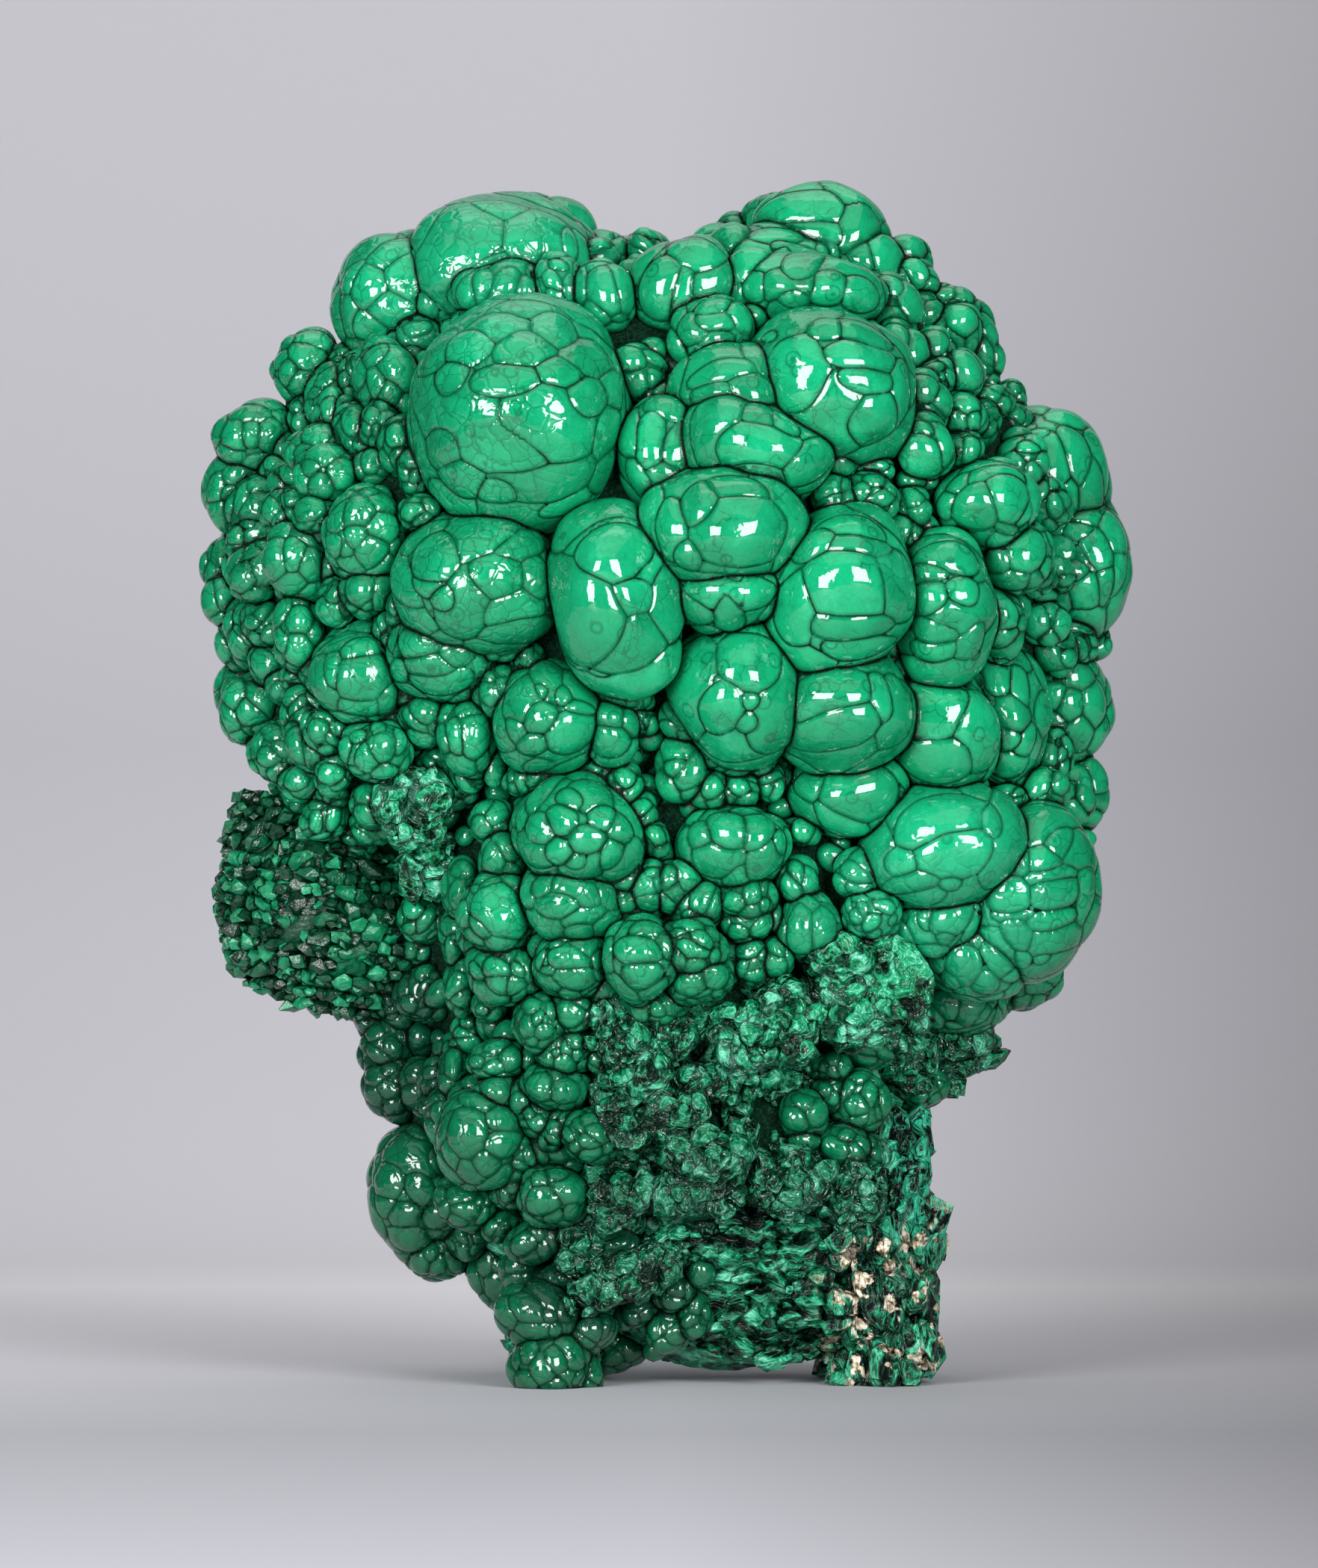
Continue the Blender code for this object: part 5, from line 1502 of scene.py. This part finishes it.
def clouded(tree, base, where, tone):
    """Darker and paler clouds of the layers below, and a tone for each head."""
    cloud = add(tree, "TexNoise", warped(tree, where, 7.0, 5.0), 1.0 / 9.0, 3.0, 0.6)
    pale = add(tree, "TexNoise", warped(tree, where, 5.0, 4.0), 1.0 / 5.0, 3.0, 0.6)
    return painted(tree, base, (
        (add(tree, "MapRange", cloud, 0.38, 0.7, 0.0, 0.55, **SMOOTH), "#0a7d50"),
        (add(tree, "MapRange", pale, 0.5, 0.75, 0.0, 0.45, **SMOOTH), "#35c08f"),
        (add(tree, "MapRange", tone, 0.0, 1.0, 0.0, 0.4, **SMOOTH), "#0a7048"),
    ))


# %% cells, painted light and shade, and dull heads
CELL = 4.2              # width of the cells that show as knobs
FINE_CELL = 1.7


def knobby_share(tree, apart):
    """Where the heads are knobby: on the left and low down."""
    left = add(tree, "MapRange", apart["X"], -32.0, -16.0, 1.0, 0.0, **SMOOTH)
    low = add(tree, "MapRange", apart["Z"], 108.0, 124.0, 1.0, 0.0, **SMOOTH)
    return add(tree, "Math", left, low, operation="MAXIMUM")


def netted(tree, base, where, cells, knobby):
    """Dark borders round the cells, strongest on knobby heads, and threads round the fine ones."""
    patchy = add(tree, "TexNoise", where, 1.0 / 9.0)
    patchy = add(tree, "MapRange", patchy, 0.42, 0.62, 0.0, 1.0, **SMOOTH)
    faint = add(tree, "Math", knobby, patchy, operation="MAXIMUM")
    line = add(tree, "MapRange", cells, 0.01, 0.045, 1.0, 0.0, **SMOOTH)
    line = add(tree, "Math", line, faint, operation="MULTIPLY")
    fine = warped(tree, where, 2.0, 1.6)
    fine = add(tree, "TexVoronoi", fine, 1.0 / FINE_CELL, feature="DISTANCE_TO_EDGE")
    thread = add(tree, "MapRange", fine, 0.0, 0.08, 1.0, 0.0, **SMOOTH)
    return painted(tree, base, (
        (add(tree, "Math", knobby, 0.12, operation="MULTIPLY"), "#075a38"),
        (add(tree, "Math", line, 0.55, operation="MULTIPLY"), "#075234"),
        (add(tree, "Math", thread, 0.2, operation="MULTIPLY"), "#08583a"),
    ))


def painted_light_shade_and_dull(tree, base, where, rising):
    """Painted shade that darkens towards the foot, painted light on two bright patches, and two low
    heads that are duller.
    """
    # Painted shade: darker towards the foot, which lies under the overhanging head.
    low = add(tree, "MapRange", rising, 25.0, 120.0, 0.68, 0.0, **SMOOTH)
    base = painted(tree, base, ((low, "#063a25"),))
    # Painted light: two patches screened lighter, on the right shoulder and the crown.
    right_shoulder = patch_over(tree, where, 58.0, 106.0, 30.0, 26.0)
    crown = patch_over(tree, where, -40.0, 246.0, 32.0, 20.0)
    painted_light = add(tree, "Math", right_shoulder, crown, operation="MAXIMUM")
    painted_light = add(tree, "Math", painted_light, 0.1, operation="MULTIPLY")
    base = add(tree, "Mix", painted_light, base, colour("#2bd39a"), blend_type="SCREEN", **COLOURS)
    pendant = patch_over(tree, where, -62.0, 74.0, 14.0, 22.0)
    left_foot = patch_over(tree, where, -14.0, 24.0, 20.0, 13.0)
    dull = add(tree, "Math", pendant, left_foot, operation="MAXIMUM")
    dull = add(tree, "Math", dull, 0.7, operation="MULTIPLY")
    return painted(tree, base, ((dull, "#0a2e22"),))


# %% relief of the heads
def head_relief(tree, where, cells, knobby, seam, dirt_and_shade):
    """Height in millimetres: slow swells, sunk cell borders and creases, and grit where dirt and
    painted shade lie.
    """
    swell = add(tree, "TexNoise", where, 1.0 / 2.6, 1.5)
    relief = add(tree, "Math", swell, 0.02, operation="MULTIPLY")
    swell = add(tree, "TexNoise", where, 1.0 / 6.0, 1.0)
    relief = add(tree, "Math", swell, 0.05, relief, operation="MULTIPLY_ADD")
    knobs = add(tree, "Math", knobby, 0.6, 0.1, operation="MULTIPLY_ADD")
    border = add(tree, "MapRange", cells, 0.0, 0.2, -0.15, 0.0, **SMOOTH)
    relief = add(tree, "Math", border, knobs, relief, operation="MULTIPLY_ADD")
    crease = add(tree, "MapRange", seam, 0.0, 1.0, -0.13, 0.0, **SMOOTH)
    relief = add(tree, "Math", crease, 1.0, relief, operation="MULTIPLY_ADD")
    grit = add(tree, "TexNoise", where, 1.0 / 0.5, 3.0)
    grit = add(tree, "Math", grit, dirt_and_shade, operation="MULTIPLY")
    return add(tree, "Math", grit, 0.2, relief, operation="MULTIPLY_ADD")


# %% malachite
def malachite():
    """The glassy heads. Polished by their own growth, they mirror every lamp sharply."""
    material, tree = stone("malachite")
    where = millimetres(tree)
    seam = add(tree, "Attribute", attribute_name="seam", out="Fac")
    tone = add(tree, "Attribute", attribute_name="tone", out="Fac")
    fold = add(tree, "Attribute", attribute_name="fold", out="Fac")
    open_wide = add(tree, "MapRange", fold, 0.03, 0.4, 2.5, 0.9, **SMOOTH)
    crack = add(tree, "Math", seam, open_wide, operation="MULTIPLY")
    cells = warped(tree, where, 3.5, 3.0)
    cells = add(tree, "TexVoronoi", cells, 1.0 / CELL, feature="DISTANCE_TO_EDGE")
    apart = add(tree, "SeparateXYZ", where).node.outputs
    knobby = knobby_share(tree, apart)
    # The green starts with painted shade in the creases.
    base = crease_shaded_green(tree, where, crack)
    base = clouded(tree, base, where, tone)
    base = netted(tree, base, where, cells, knobby)
    base = painted(tree, base, ((rings_of(tree, where, tone), "#075a3a"),))
    base = painted_light_shade_and_dull(tree, base, where, apart["Z"])
    # Dirt, with painted shade, in the sharp creases and deep down near the core.
    dirt_and_shade = dirt_and_shade_share(tree, seam, where)
    soil_and_shade = add(tree, "ValToRGB", add(tree, "TexNoise", where, 1.0 / 0.6, 4.0, 0.7), stops=[
        (0.3, "#020805"), (0.56, "#071d12"), (0.7, "#173828"), (0.82, "#595c45"),
    ])
    base = add(tree, "Mix", dirt_and_shade, base, soil_and_shade, **COLOURS)
    polish = add(tree, "TexNoise", where, 1.0 / 4.0, 3.0)
    roughness = add(tree, "Math", polish, 0.08, 0.02, operation="MULTIPLY_ADD")
    roughness = add(tree, "Math", dirt_and_shade, 0.25, roughness, operation="MULTIPLY_ADD")
    relief = head_relief(tree, where, cells, knobby, seam, dirt_and_shade)
    crease = add(tree, "MapRange", crack, 0.15, 0.8, 1.0, 0.0, **SMOOTH)
    dull = add(tree, "Math", crease, dirt_and_shade, operation="MAXIMUM")
    dress(tree, base, roughness, relief, 1.66, dull)
    return material


# %% [markdown]
# Where the stone broke, its fibre bundles stand open: crumpled faces with silky ridges and deep
# hollows. Folded noise at three sizes gives such ridges, and one value drives the colour, the relief
# and the shine together, so they always agree. Following the relief, the colour is painted sheen,
# pale, on the ridges and painted shade, nearly black, in the hollows.

# %% broken malachite
def broken_malachite():
    """Crumpled fracture faces. The silky fibres lower the shine a little, so the IOR is 1.62."""
    material, tree = stone("broken_malachite")
    where = millimetres(tree)
    tone = add(tree, "Attribute", attribute_name="tone", out="Fac")
    folds = crumple(tree, warped(tree, where, 8.0, 7.0), 1.7)
    patch = add(tree, "TexNoise", where, 1.0 / 9.0, 3.0)
    shade = add(tree, "Math", folds, 0.5, operation="MULTIPLY")
    shade = add(tree, "Math", patch, 0.5, shade, operation="MULTIPLY_ADD")
    shade = add(tree, "Math", tone, 0.16, shade, operation="MULTIPLY_ADD")
    base = add(tree, "ValToRGB", shade, stops=[
        (0.34, "#02130b"), (0.44, "#063a23"), (0.54, "#0d7f51"), (0.66, "#1aa874"), (0.82, "#6ad6ae"),
    ])
    seam = add(tree, "Attribute", attribute_name="seam", out="Fac")
    rising = add(tree, "SeparateXYZ", where, out="Z")
    # Painted shade: near black at the creases, and darker towards the foot.
    base = painted(tree, base, (
        (add(tree, "MapRange", seam, 0.0, 0.6, 0.8, 0.0, **SMOOTH), "#020e08"),
        (add(tree, "MapRange", rising, 40.0, 95.0, 0.55, 0.0, **SMOOTH), "#04261a"),
    ))
    roughness = add(tree, "Math", folds, 0.15, 0.08, operation="MULTIPLY_ADD")
    relief = add(tree, "Math", patch, 1.2, operation="MULTIPLY")
    relief = add(tree, "Math", folds, 1.9, relief, operation="MULTIPLY_ADD")
    hollow = add(tree, "MapRange", folds, 0.1, 0.35, 0.9, 0.0, **SMOOTH)
    dress(tree, base, roughness, relief, 1.62, hollow)
    return material


# %% [markdown]
# The spur is granular malachite: little crystal blocks, each turned its own way. A random tone for
# each block keeps neighbours apart, and their fine pitting is noise of about a millimetre.

# %% grainy malachite
def grainy_malachite():
    """Glossy crystal blocks, with painted shade in the dark gaps between them."""
    material, tree = stone("grainy_malachite")
    where = millimetres(tree)
    tone = add(tree, "Attribute", attribute_name="tone", out="Fac")
    patch = add(tree, "TexNoise", where, 1.0 / 1.4, 3.0)
    shade = add(tree, "Math", tone, 0.6, operation="MULTIPLY")
    shade = add(tree, "Math", patch, 0.5, shade, operation="MULTIPLY_ADD")
    base = add(tree, "ValToRGB", shade, stops=[
        (0.25, "#052a1a"), (0.45, "#084a2f"), (0.62, "#0c6a45"), (0.78, "#158a5c"), (0.95, "#3aae80"),
    ])
    seam = add(tree, "Attribute", attribute_name="seam", out="Fac")
    # Painted shade in the gaps where two grains meet.
    painted_gap_shade = add(tree, "MapRange", seam, 0.0, 0.45, 0.9, 0.0, **SMOOTH)
    base = painted(tree, base, ((painted_gap_shade, "#021009"),))
    roughness = add(tree, "Math", patch, 0.3, 0.08, operation="MULTIPLY_ADD")
    pits = add(tree, "TexNoise", where, 1.0 / 0.9, 3.0)
    relief = add(tree, "Math", pits, 0.3, operation="MULTIPLY")
    dull = add(tree, "MapRange", seam, 0.0, 0.5, 1.0, 0.0, **SMOOTH)
    dress(tree, base, roughness, relief, 1.6, dull)
    return material


# %% [markdown]
# Deep between the heads lies what the years left: dust with a few pale grains, darkened with painted
# shade to near black. It shows only where the core looks through, so one speckle of noise is enough.

# %% crevice dirt and painted shade
def crevice_dirt_and_shade():
    """Dust on the core, near black with painted shade. Being loose, it is rough and hardly shines."""
    material, tree = stone("crevice_dirt_and_shade")
    grain = add(tree, "TexNoise", millimetres(tree), 1.0 / 0.7, 4.0, 0.7)
    base = add(tree, "ValToRGB", grain, stops=[
        (0.3, "#020c07"), (0.5, "#06281a"), (0.65, "#0e4a31"), (0.78, "#5f6650"),
    ])
    roughness = add(tree, "Math", grain, 0.2, 0.7, operation="MULTIPLY_ADD")
    relief = add(tree, "Math", grain, 0.8, operation="MULTIPLY")
    dress(tree, base, roughness, relief, 1.5)
    tree.nodes["Principled BSDF"].inputs["Specular IOR Level"].default_value = 0.1
    return material


# %% [markdown]
# The matrix is the host rock, shot through with copper ore. Its layers lie flat under the stem and
# stand on end in the right foot, so two stretched sets of ridges are blended from left to right.
# Low on that foot, cream and tan specks of the bare rock show.

# %% layers of the matrix
def matrix_layers(tree, where, right):
    """Ridges that lie flat, and on the right foot stand on end; also the standing ones alone."""
    lying = warped(tree, where, 12.0, 8.0)
    lying = add(tree, "Mapping", lying, None, None, (0.35, 0.35, 1.0))
    standing = warped(tree, where, 9.0, 9.0)
    standing = add(tree, "Mapping", standing, None, None, (1.0, 1.0, 0.3))
    layer = crumple(tree, lying)
    streak = crumple(tree, standing)
    change = add(tree, "Math", streak, layer, operation="SUBTRACT")
    return add(tree, "Math", change, right, layer, operation="MULTIPLY_ADD"), streak


def teal_share(tree, apart, streak):
    """Blue-green streaks high on the outer side of the right foot."""
    outer = add(tree, "MapRange", apart["X"], 47.0, 52.0, 0.0, 1.0, **SMOOTH)
    teal = add(tree, "MapRange", streak, 0.45, 0.6, 0.0, 1.0, **SMOOTH)
    teal = add(tree, "Math", outer, teal, operation="MULTIPLY")
    upper = add(tree, "MapRange", apart["Z"], 26.0, 36.0, 0.0, 1.0, **SMOOTH)
    teal = add(tree, "Math", teal, upper, operation="MULTIPLY")
    return add(tree, "Math", teal, 0.8, operation="MULTIPLY")


def speck_share(tree, where, apart, right):
    """Bare rock in specks of about five millimetres, low on the right foot."""
    low = add(tree, "MapRange", apart["Z"], 30.0, 44.0, 1.0, 0.0, **SMOOTH)
    low = add(tree, "Math", low, right, operation="MULTIPLY")
    speck = add(tree, "TexNoise", warped(tree, where, 3.0, 2.0), 1.0 / 5.5, 3.0, 0.55)
    speck = add(tree, "MapRange", speck, 0.56, 0.6, 0.0, 1.0, **SMOOTH)
    return add(tree, "Math", speck, low, operation="MULTIPLY")


# %% matrix rock
def matrix_rock():
    """Dark layered rock. Following the relief, its ridges are pale with painted light, and its hollows,
    painted shade, are near black and take no light.
    """
    material, tree = stone("matrix_rock")
    where = millimetres(tree)
    apart = add(tree, "SeparateXYZ", where).node.outputs
    right = add(tree, "MapRange", apart["X"], 30.0, 42.0, 0.0, 1.0, **SMOOTH)
    grain, streak = matrix_layers(tree, where, right)
    patch = add(tree, "TexNoise", where, 1.0 / 7.0, 3.0)
    shade = add(tree, "Math", grain, 0.5, operation="MULTIPLY")
    shade = add(tree, "Math", patch, 0.5, shade, operation="MULTIPLY_ADD")
    # Painted light and shade: the ramp follows the relief, pale on the ridges and near black in the
    # hollows.
    base = add(tree, "ValToRGB", shade, stops=[
        (0.36, "#02100a"), (0.46, "#063322"), (0.55, "#0e7550"), (0.66, "#25a276"), (0.82, "#86dcbf"),
    ])
    base = painted(tree, base, ((teal_share(tree, apart, streak), "#27ab86"),))
    cream = add(tree, "ValToRGB", add(tree, "TexNoise", where, 1.0 / 1.3, 3.0), stops=[
        (0.36, "#4a4638"), (0.44, "#b09676"), (0.55, "#e2d5bd"), (0.65, "#f1ead9"),
    ])
    base = add(tree, "Mix", speck_share(tree, where, apart, right), base, cream, **COLOURS)
    # Painted shade: near black in the creases between chunks.
    seam = add(tree, "Attribute", attribute_name="seam", out="Fac")
    painted_gap_shade = add(tree, "MapRange", seam, 0.0, 0.5, 0.7, 0.0, **SMOOTH)
    base = painted(tree, base, ((painted_gap_shade, "#020805"),))
    roughness = add(tree, "Math", grain, 0.3, 0.14, operation="MULTIPLY_ADD")
    relief = add(tree, "Math", patch, 1.0, operation="MULTIPLY")
    relief = add(tree, "Math", grain, 1.3, relief, operation="MULTIPLY_ADD")
    crumbs = add(tree, "TexNoise", where, 1.0 / 0.8, 3.0)
    relief = add(tree, "Math", crumbs, 0.2, relief, operation="MULTIPLY_ADD")
    hollow = add(tree, "MapRange", grain, 0.1, 0.4, 0.9, 0.0, **SMOOTH)
    dress(tree, base, roughness, relief, 1.5, hollow)
    return material


# %% finishes of the facets
# One slot for each finish; the core is rock at the foot, and dirt with painted shade between the heads.
SLOT_OF_KIND = {CORE: 3, GLOSSY: 0, BROKEN_FACE: 1, GRAIN: 2, CHUNK: 3, FILLER: 0}
DIRT_AND_SHADE_SLOT = 4
# From this height the core gets the dirt and its painted shade.
DIRT_AND_SHADE_FROM = 0.04        # height in metres from which the core is dirty

stone_mesh.materials.clear()
for material in (malachite(), broken_malachite(), grainy_malachite(), matrix_rock(), crevice_dirt_and_shade()):
    stone_mesh.materials.append(material)
    print(material.name, len(material.node_tree.nodes), "nodes")
slot_of_kind = np.array([SLOT_OF_KIND[kind] for kind in range(len(SLOT_OF_KIND))])
slots = slot_of_kind[kind_of_face].astype(np.int32)
facet_height = numbers_of(stone_mesh.polygons, "center", 3)[:, 2]
slots[(kind_of_face == CORE) & (facet_height > DIRT_AND_SHADE_FROM)] = DIRT_AND_SHADE_SLOT
stone_mesh.polygons.foreach_set("material_index", slots)

# %% [markdown]
# One mesh of this size is slow to handle, so the skin is parted into pieces. The cuts follow the
# creases between lobes, where they can't be seen, and all pieces ride on the one body.

# %% pieces
def piece_of(lobe):
    """The piece that a lobe's faces go to."""
    if lobe.kind == GRAIN:
        return "spur"
    if lobe.kind in (CHUNK, CORE):
        return "matrix_foot"
    side = "left" if lobe.centre.x < 0.0 else "right"
    if lobe.centre.y > BEHIND:
        return side + "_rear_heads"
    if lobe.kind == BROKEN_FACE:
        return "broken_faces"
    if lobe.centre.z > CROWN_FROM:
        return side + "_crown"
    return side + "_face" if lobe.centre.z > FACE_FROM else side + "_stem"


def part_off(mesh, keep, name):
    """A new object with the faces that are kept."""
    own = mesh.copy()
    own.name = name
    bm = bmesh.new()
    bm.from_mesh(own)
    bm.faces.ensure_lookup_table()
    spare = [face for face, stays in zip(bm.faces, keep) if not stays]
    bmesh.ops.delete(bm, geom=spare, context="FACES")
    bm.to_mesh(own)
    bm.free()
    piece = bpy.data.objects.new(name, own)
    bpy.context.scene.collection.objects.link(piece)
    return piece


piece_of_face = np.array([piece_of(lobe) for lobe in lobes])[lobe_of_face]
for name in sorted(set(piece_of_face)):
    piece = part_off(stone_mesh, piece_of_face == name, name)
    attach(piece, "root")
    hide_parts("malachite_specimen")
    print(name, len(piece.data.polygons), "facets")

# %% [markdown]
# ## Stage
# The specimen stands on pale studio paper, which curves up behind it so that no edge shows. A plane
# with a bend could be modelled by hand; here its outline is drawn once and extruded sideways. The
# paper is unevenly lit and falls off to the right, which a ramp along it gives more surely than
# lamps would.

# %% sweep of paper
DEEP, HIGH, HALF_WIDE = 1.1, 1.6, 0.7   # where the wall stands, its height, half the paper's width
BEND = 0.5                              # radius of the curve
FRONT = -4.0                            # how far the paper comes forward
BEND_STEPS = 12


def sweep_mesh():
    """Floor, curve and wall of the paper."""
    outline = [(FRONT, 0.0), (DEEP - BEND, 0.0)]
    for k in range(1, BEND_STEPS + 1):
        turn = k / BEND_STEPS * math.pi / 2.0
        outline.append((DEEP - BEND + BEND * math.sin(turn), BEND - BEND * math.cos(turn)))
    outline.append((DEEP, HIGH))
    bm = bmesh.new()
    verts = [bm.verts.new((-HALF_WIDE, y, z)) for y, z in outline]
    edges = [bm.edges.new(pair) for pair in zip(verts, verts[1:])]
    swept = bmesh.ops.extrude_edge_only(bm, edges=edges)
    moved = [item for item in swept["geom"] if isinstance(item, bmesh.types.BMVert)]
    bmesh.ops.translate(bm, verts=moved, vec=(2.0 * HALF_WIDE, 0.0, 0.0))
    for face in bm.faces:
        face.smooth = True
    mesh = bpy.data.meshes.new("backdrop")
    bm.to_mesh(mesh)
    bm.free()
    return mesh


# %% studio paper
RAMP_START = -200.0     # millimetres along the paper where the ramp starts, from the specimen
RAMP_LENGTH = 1800.0
SHADE_SLOPE = 0.0031    # how fast the shade deepens to the right, for each millimetre
SHADE_CHANGE = -0.0000012   # how that changes with each millimetre along the paper
MOST_SHADE = 0.5


def studio_paper():
    """Matt coated paper, so its roughness is high."""
    material, tree = stone("studio_paper")
    shader = tree.nodes["Principled BSDF"]
    place = add(tree, "SeparateXYZ", millimetres(tree)).node.outputs
    along = add(tree, "Math", place["Y"], place["Z"], operation="ADD")
    start = -RAMP_START / RAMP_LENGTH
    paper = add(tree, "Math", along, 1.0 / RAMP_LENGTH, start, operation="MULTIPLY_ADD")
    paper = add(tree, "ValToRGB", paper, stops=[
        (0.0, "#b7b6be"), (0.111, "#d4d3da"), (0.2, "#dfdee4"), (0.36, "#f8f7fa"), (0.5, "#e4e3e9"),
        (0.6, "#d3d2d9"), (0.72, "#c2c1c8"), (0.944, "#c9c8ce"),
    ])
    slope = add(tree, "Math", along, SHADE_CHANGE, SHADE_SLOPE, operation="MULTIPLY_ADD")
    shade = add(tree, "Math", place["X"], slope, operation="MULTIPLY")
    shade = add(tree, "Math", shade, 0.0, operation="MAXIMUM")
    shade = add(tree, "Math", shade, MOST_SHADE, operation="MINIMUM")
    paper = painted(tree, paper, ((shade, "#000000"),))
    tree.links.new(paper, shader.inputs["Base Color"])
    shader.inputs["Roughness"].default_value = 0.7
    return material


sweep = bpy.data.objects.new("backdrop", sweep_mesh())
sweep.data.materials.append(studio_paper())
bpy.context.scene.collection.objects.link(sweep)
print("backdrop", len(sweep.data.polygons), "faces")

# %% [markdown]
# Two square softboxes stand in front, left and right; glassy heads show them as pairs of sharp
# lights. A broad one overhead fills the crown, and one over the paper lifts the background.

# %% softboxes
MIDDLE = (0.0, 0.0, 0.14)
SOFTBOXES = (   # name, azimuth and elevation in degrees, distance, width, watts, what it looks at
    ("left_softbox", -29.0, 11.0, 1.6, 0.7, 21.0, MIDDLE),
    ("right_softbox", 29.0, 11.0, 1.6, 0.7, 21.0, MIDDLE),
    ("overhead_softbox", 0.0, 68.0, 2.2, 3.0, 16.0, MIDDLE),
    ("paper_softbox", 0.0, 90.0, 1.7, 1.2, 5.0, (0.0, 0.55, 0.0)),
)

for name, azimuth, elevation, distance, size, power, middle in SOFTBOXES:
    light = bpy.data.lights.new(name, "AREA")
    light.shape = "SQUARE"
    light.size = size
    light.energy = power
    lamp = bpy.data.objects.new(name, light)
    turn, rise = math.radians(azimuth), math.radians(elevation)
    way = (math.sin(turn) * math.cos(rise), -math.cos(turn) * math.cos(rise), math.sin(rise))
    lamp.location = Vector(middle) + Vector(way) * distance
    lamp.rotation_euler = (-Vector(way)).to_track_quat("-Z", "Y").to_euler()
    bpy.context.scene.collection.objects.link(lamp)
    print(name, [round(place, 2) for place in lamp.location])

# %% studio air
AIR_LIGHT = 0.05        # faint light from all round
AIR_SEEN = 0.55         # how much brighter it is to the eye, as a pale wall past the paper's edge

world = bpy.data.worlds.new("studio_air")
world.use_nodes = True
sky = world.node_tree.nodes["Background"]
sky.inputs["Color"].default_value = colour("#e4e6ec")
seen = add(world.node_tree, "LightPath", out="Is Camera Ray")
strength = add(world.node_tree, "Math", seen, AIR_SEEN, AIR_LIGHT, operation="MULTIPLY_ADD")
world.node_tree.links.new(strength, sky.inputs["Strength"])
bpy.context.scene.world = world

# %% camera
# A level view with a long lens, which keeps the heads' sizes true.
lens = bpy.data.cameras.new("camera")
lens.lens = 250.0
lens.sensor_width = 36.0
lens.sensor_height = 36.0
lens.sensor_fit = "VERTICAL"
eye = bpy.data.objects.new("camera", lens)
eye.location = (-0.0012, -2.43, 0.1329)
eye.rotation_euler = (math.radians(90.0), 0.0, 0.0)
bpy.context.scene.collection.objects.link(eye)
bpy.context.scene.camera = eye
bpy.context.scene.view_settings.view_transform = "Standard"
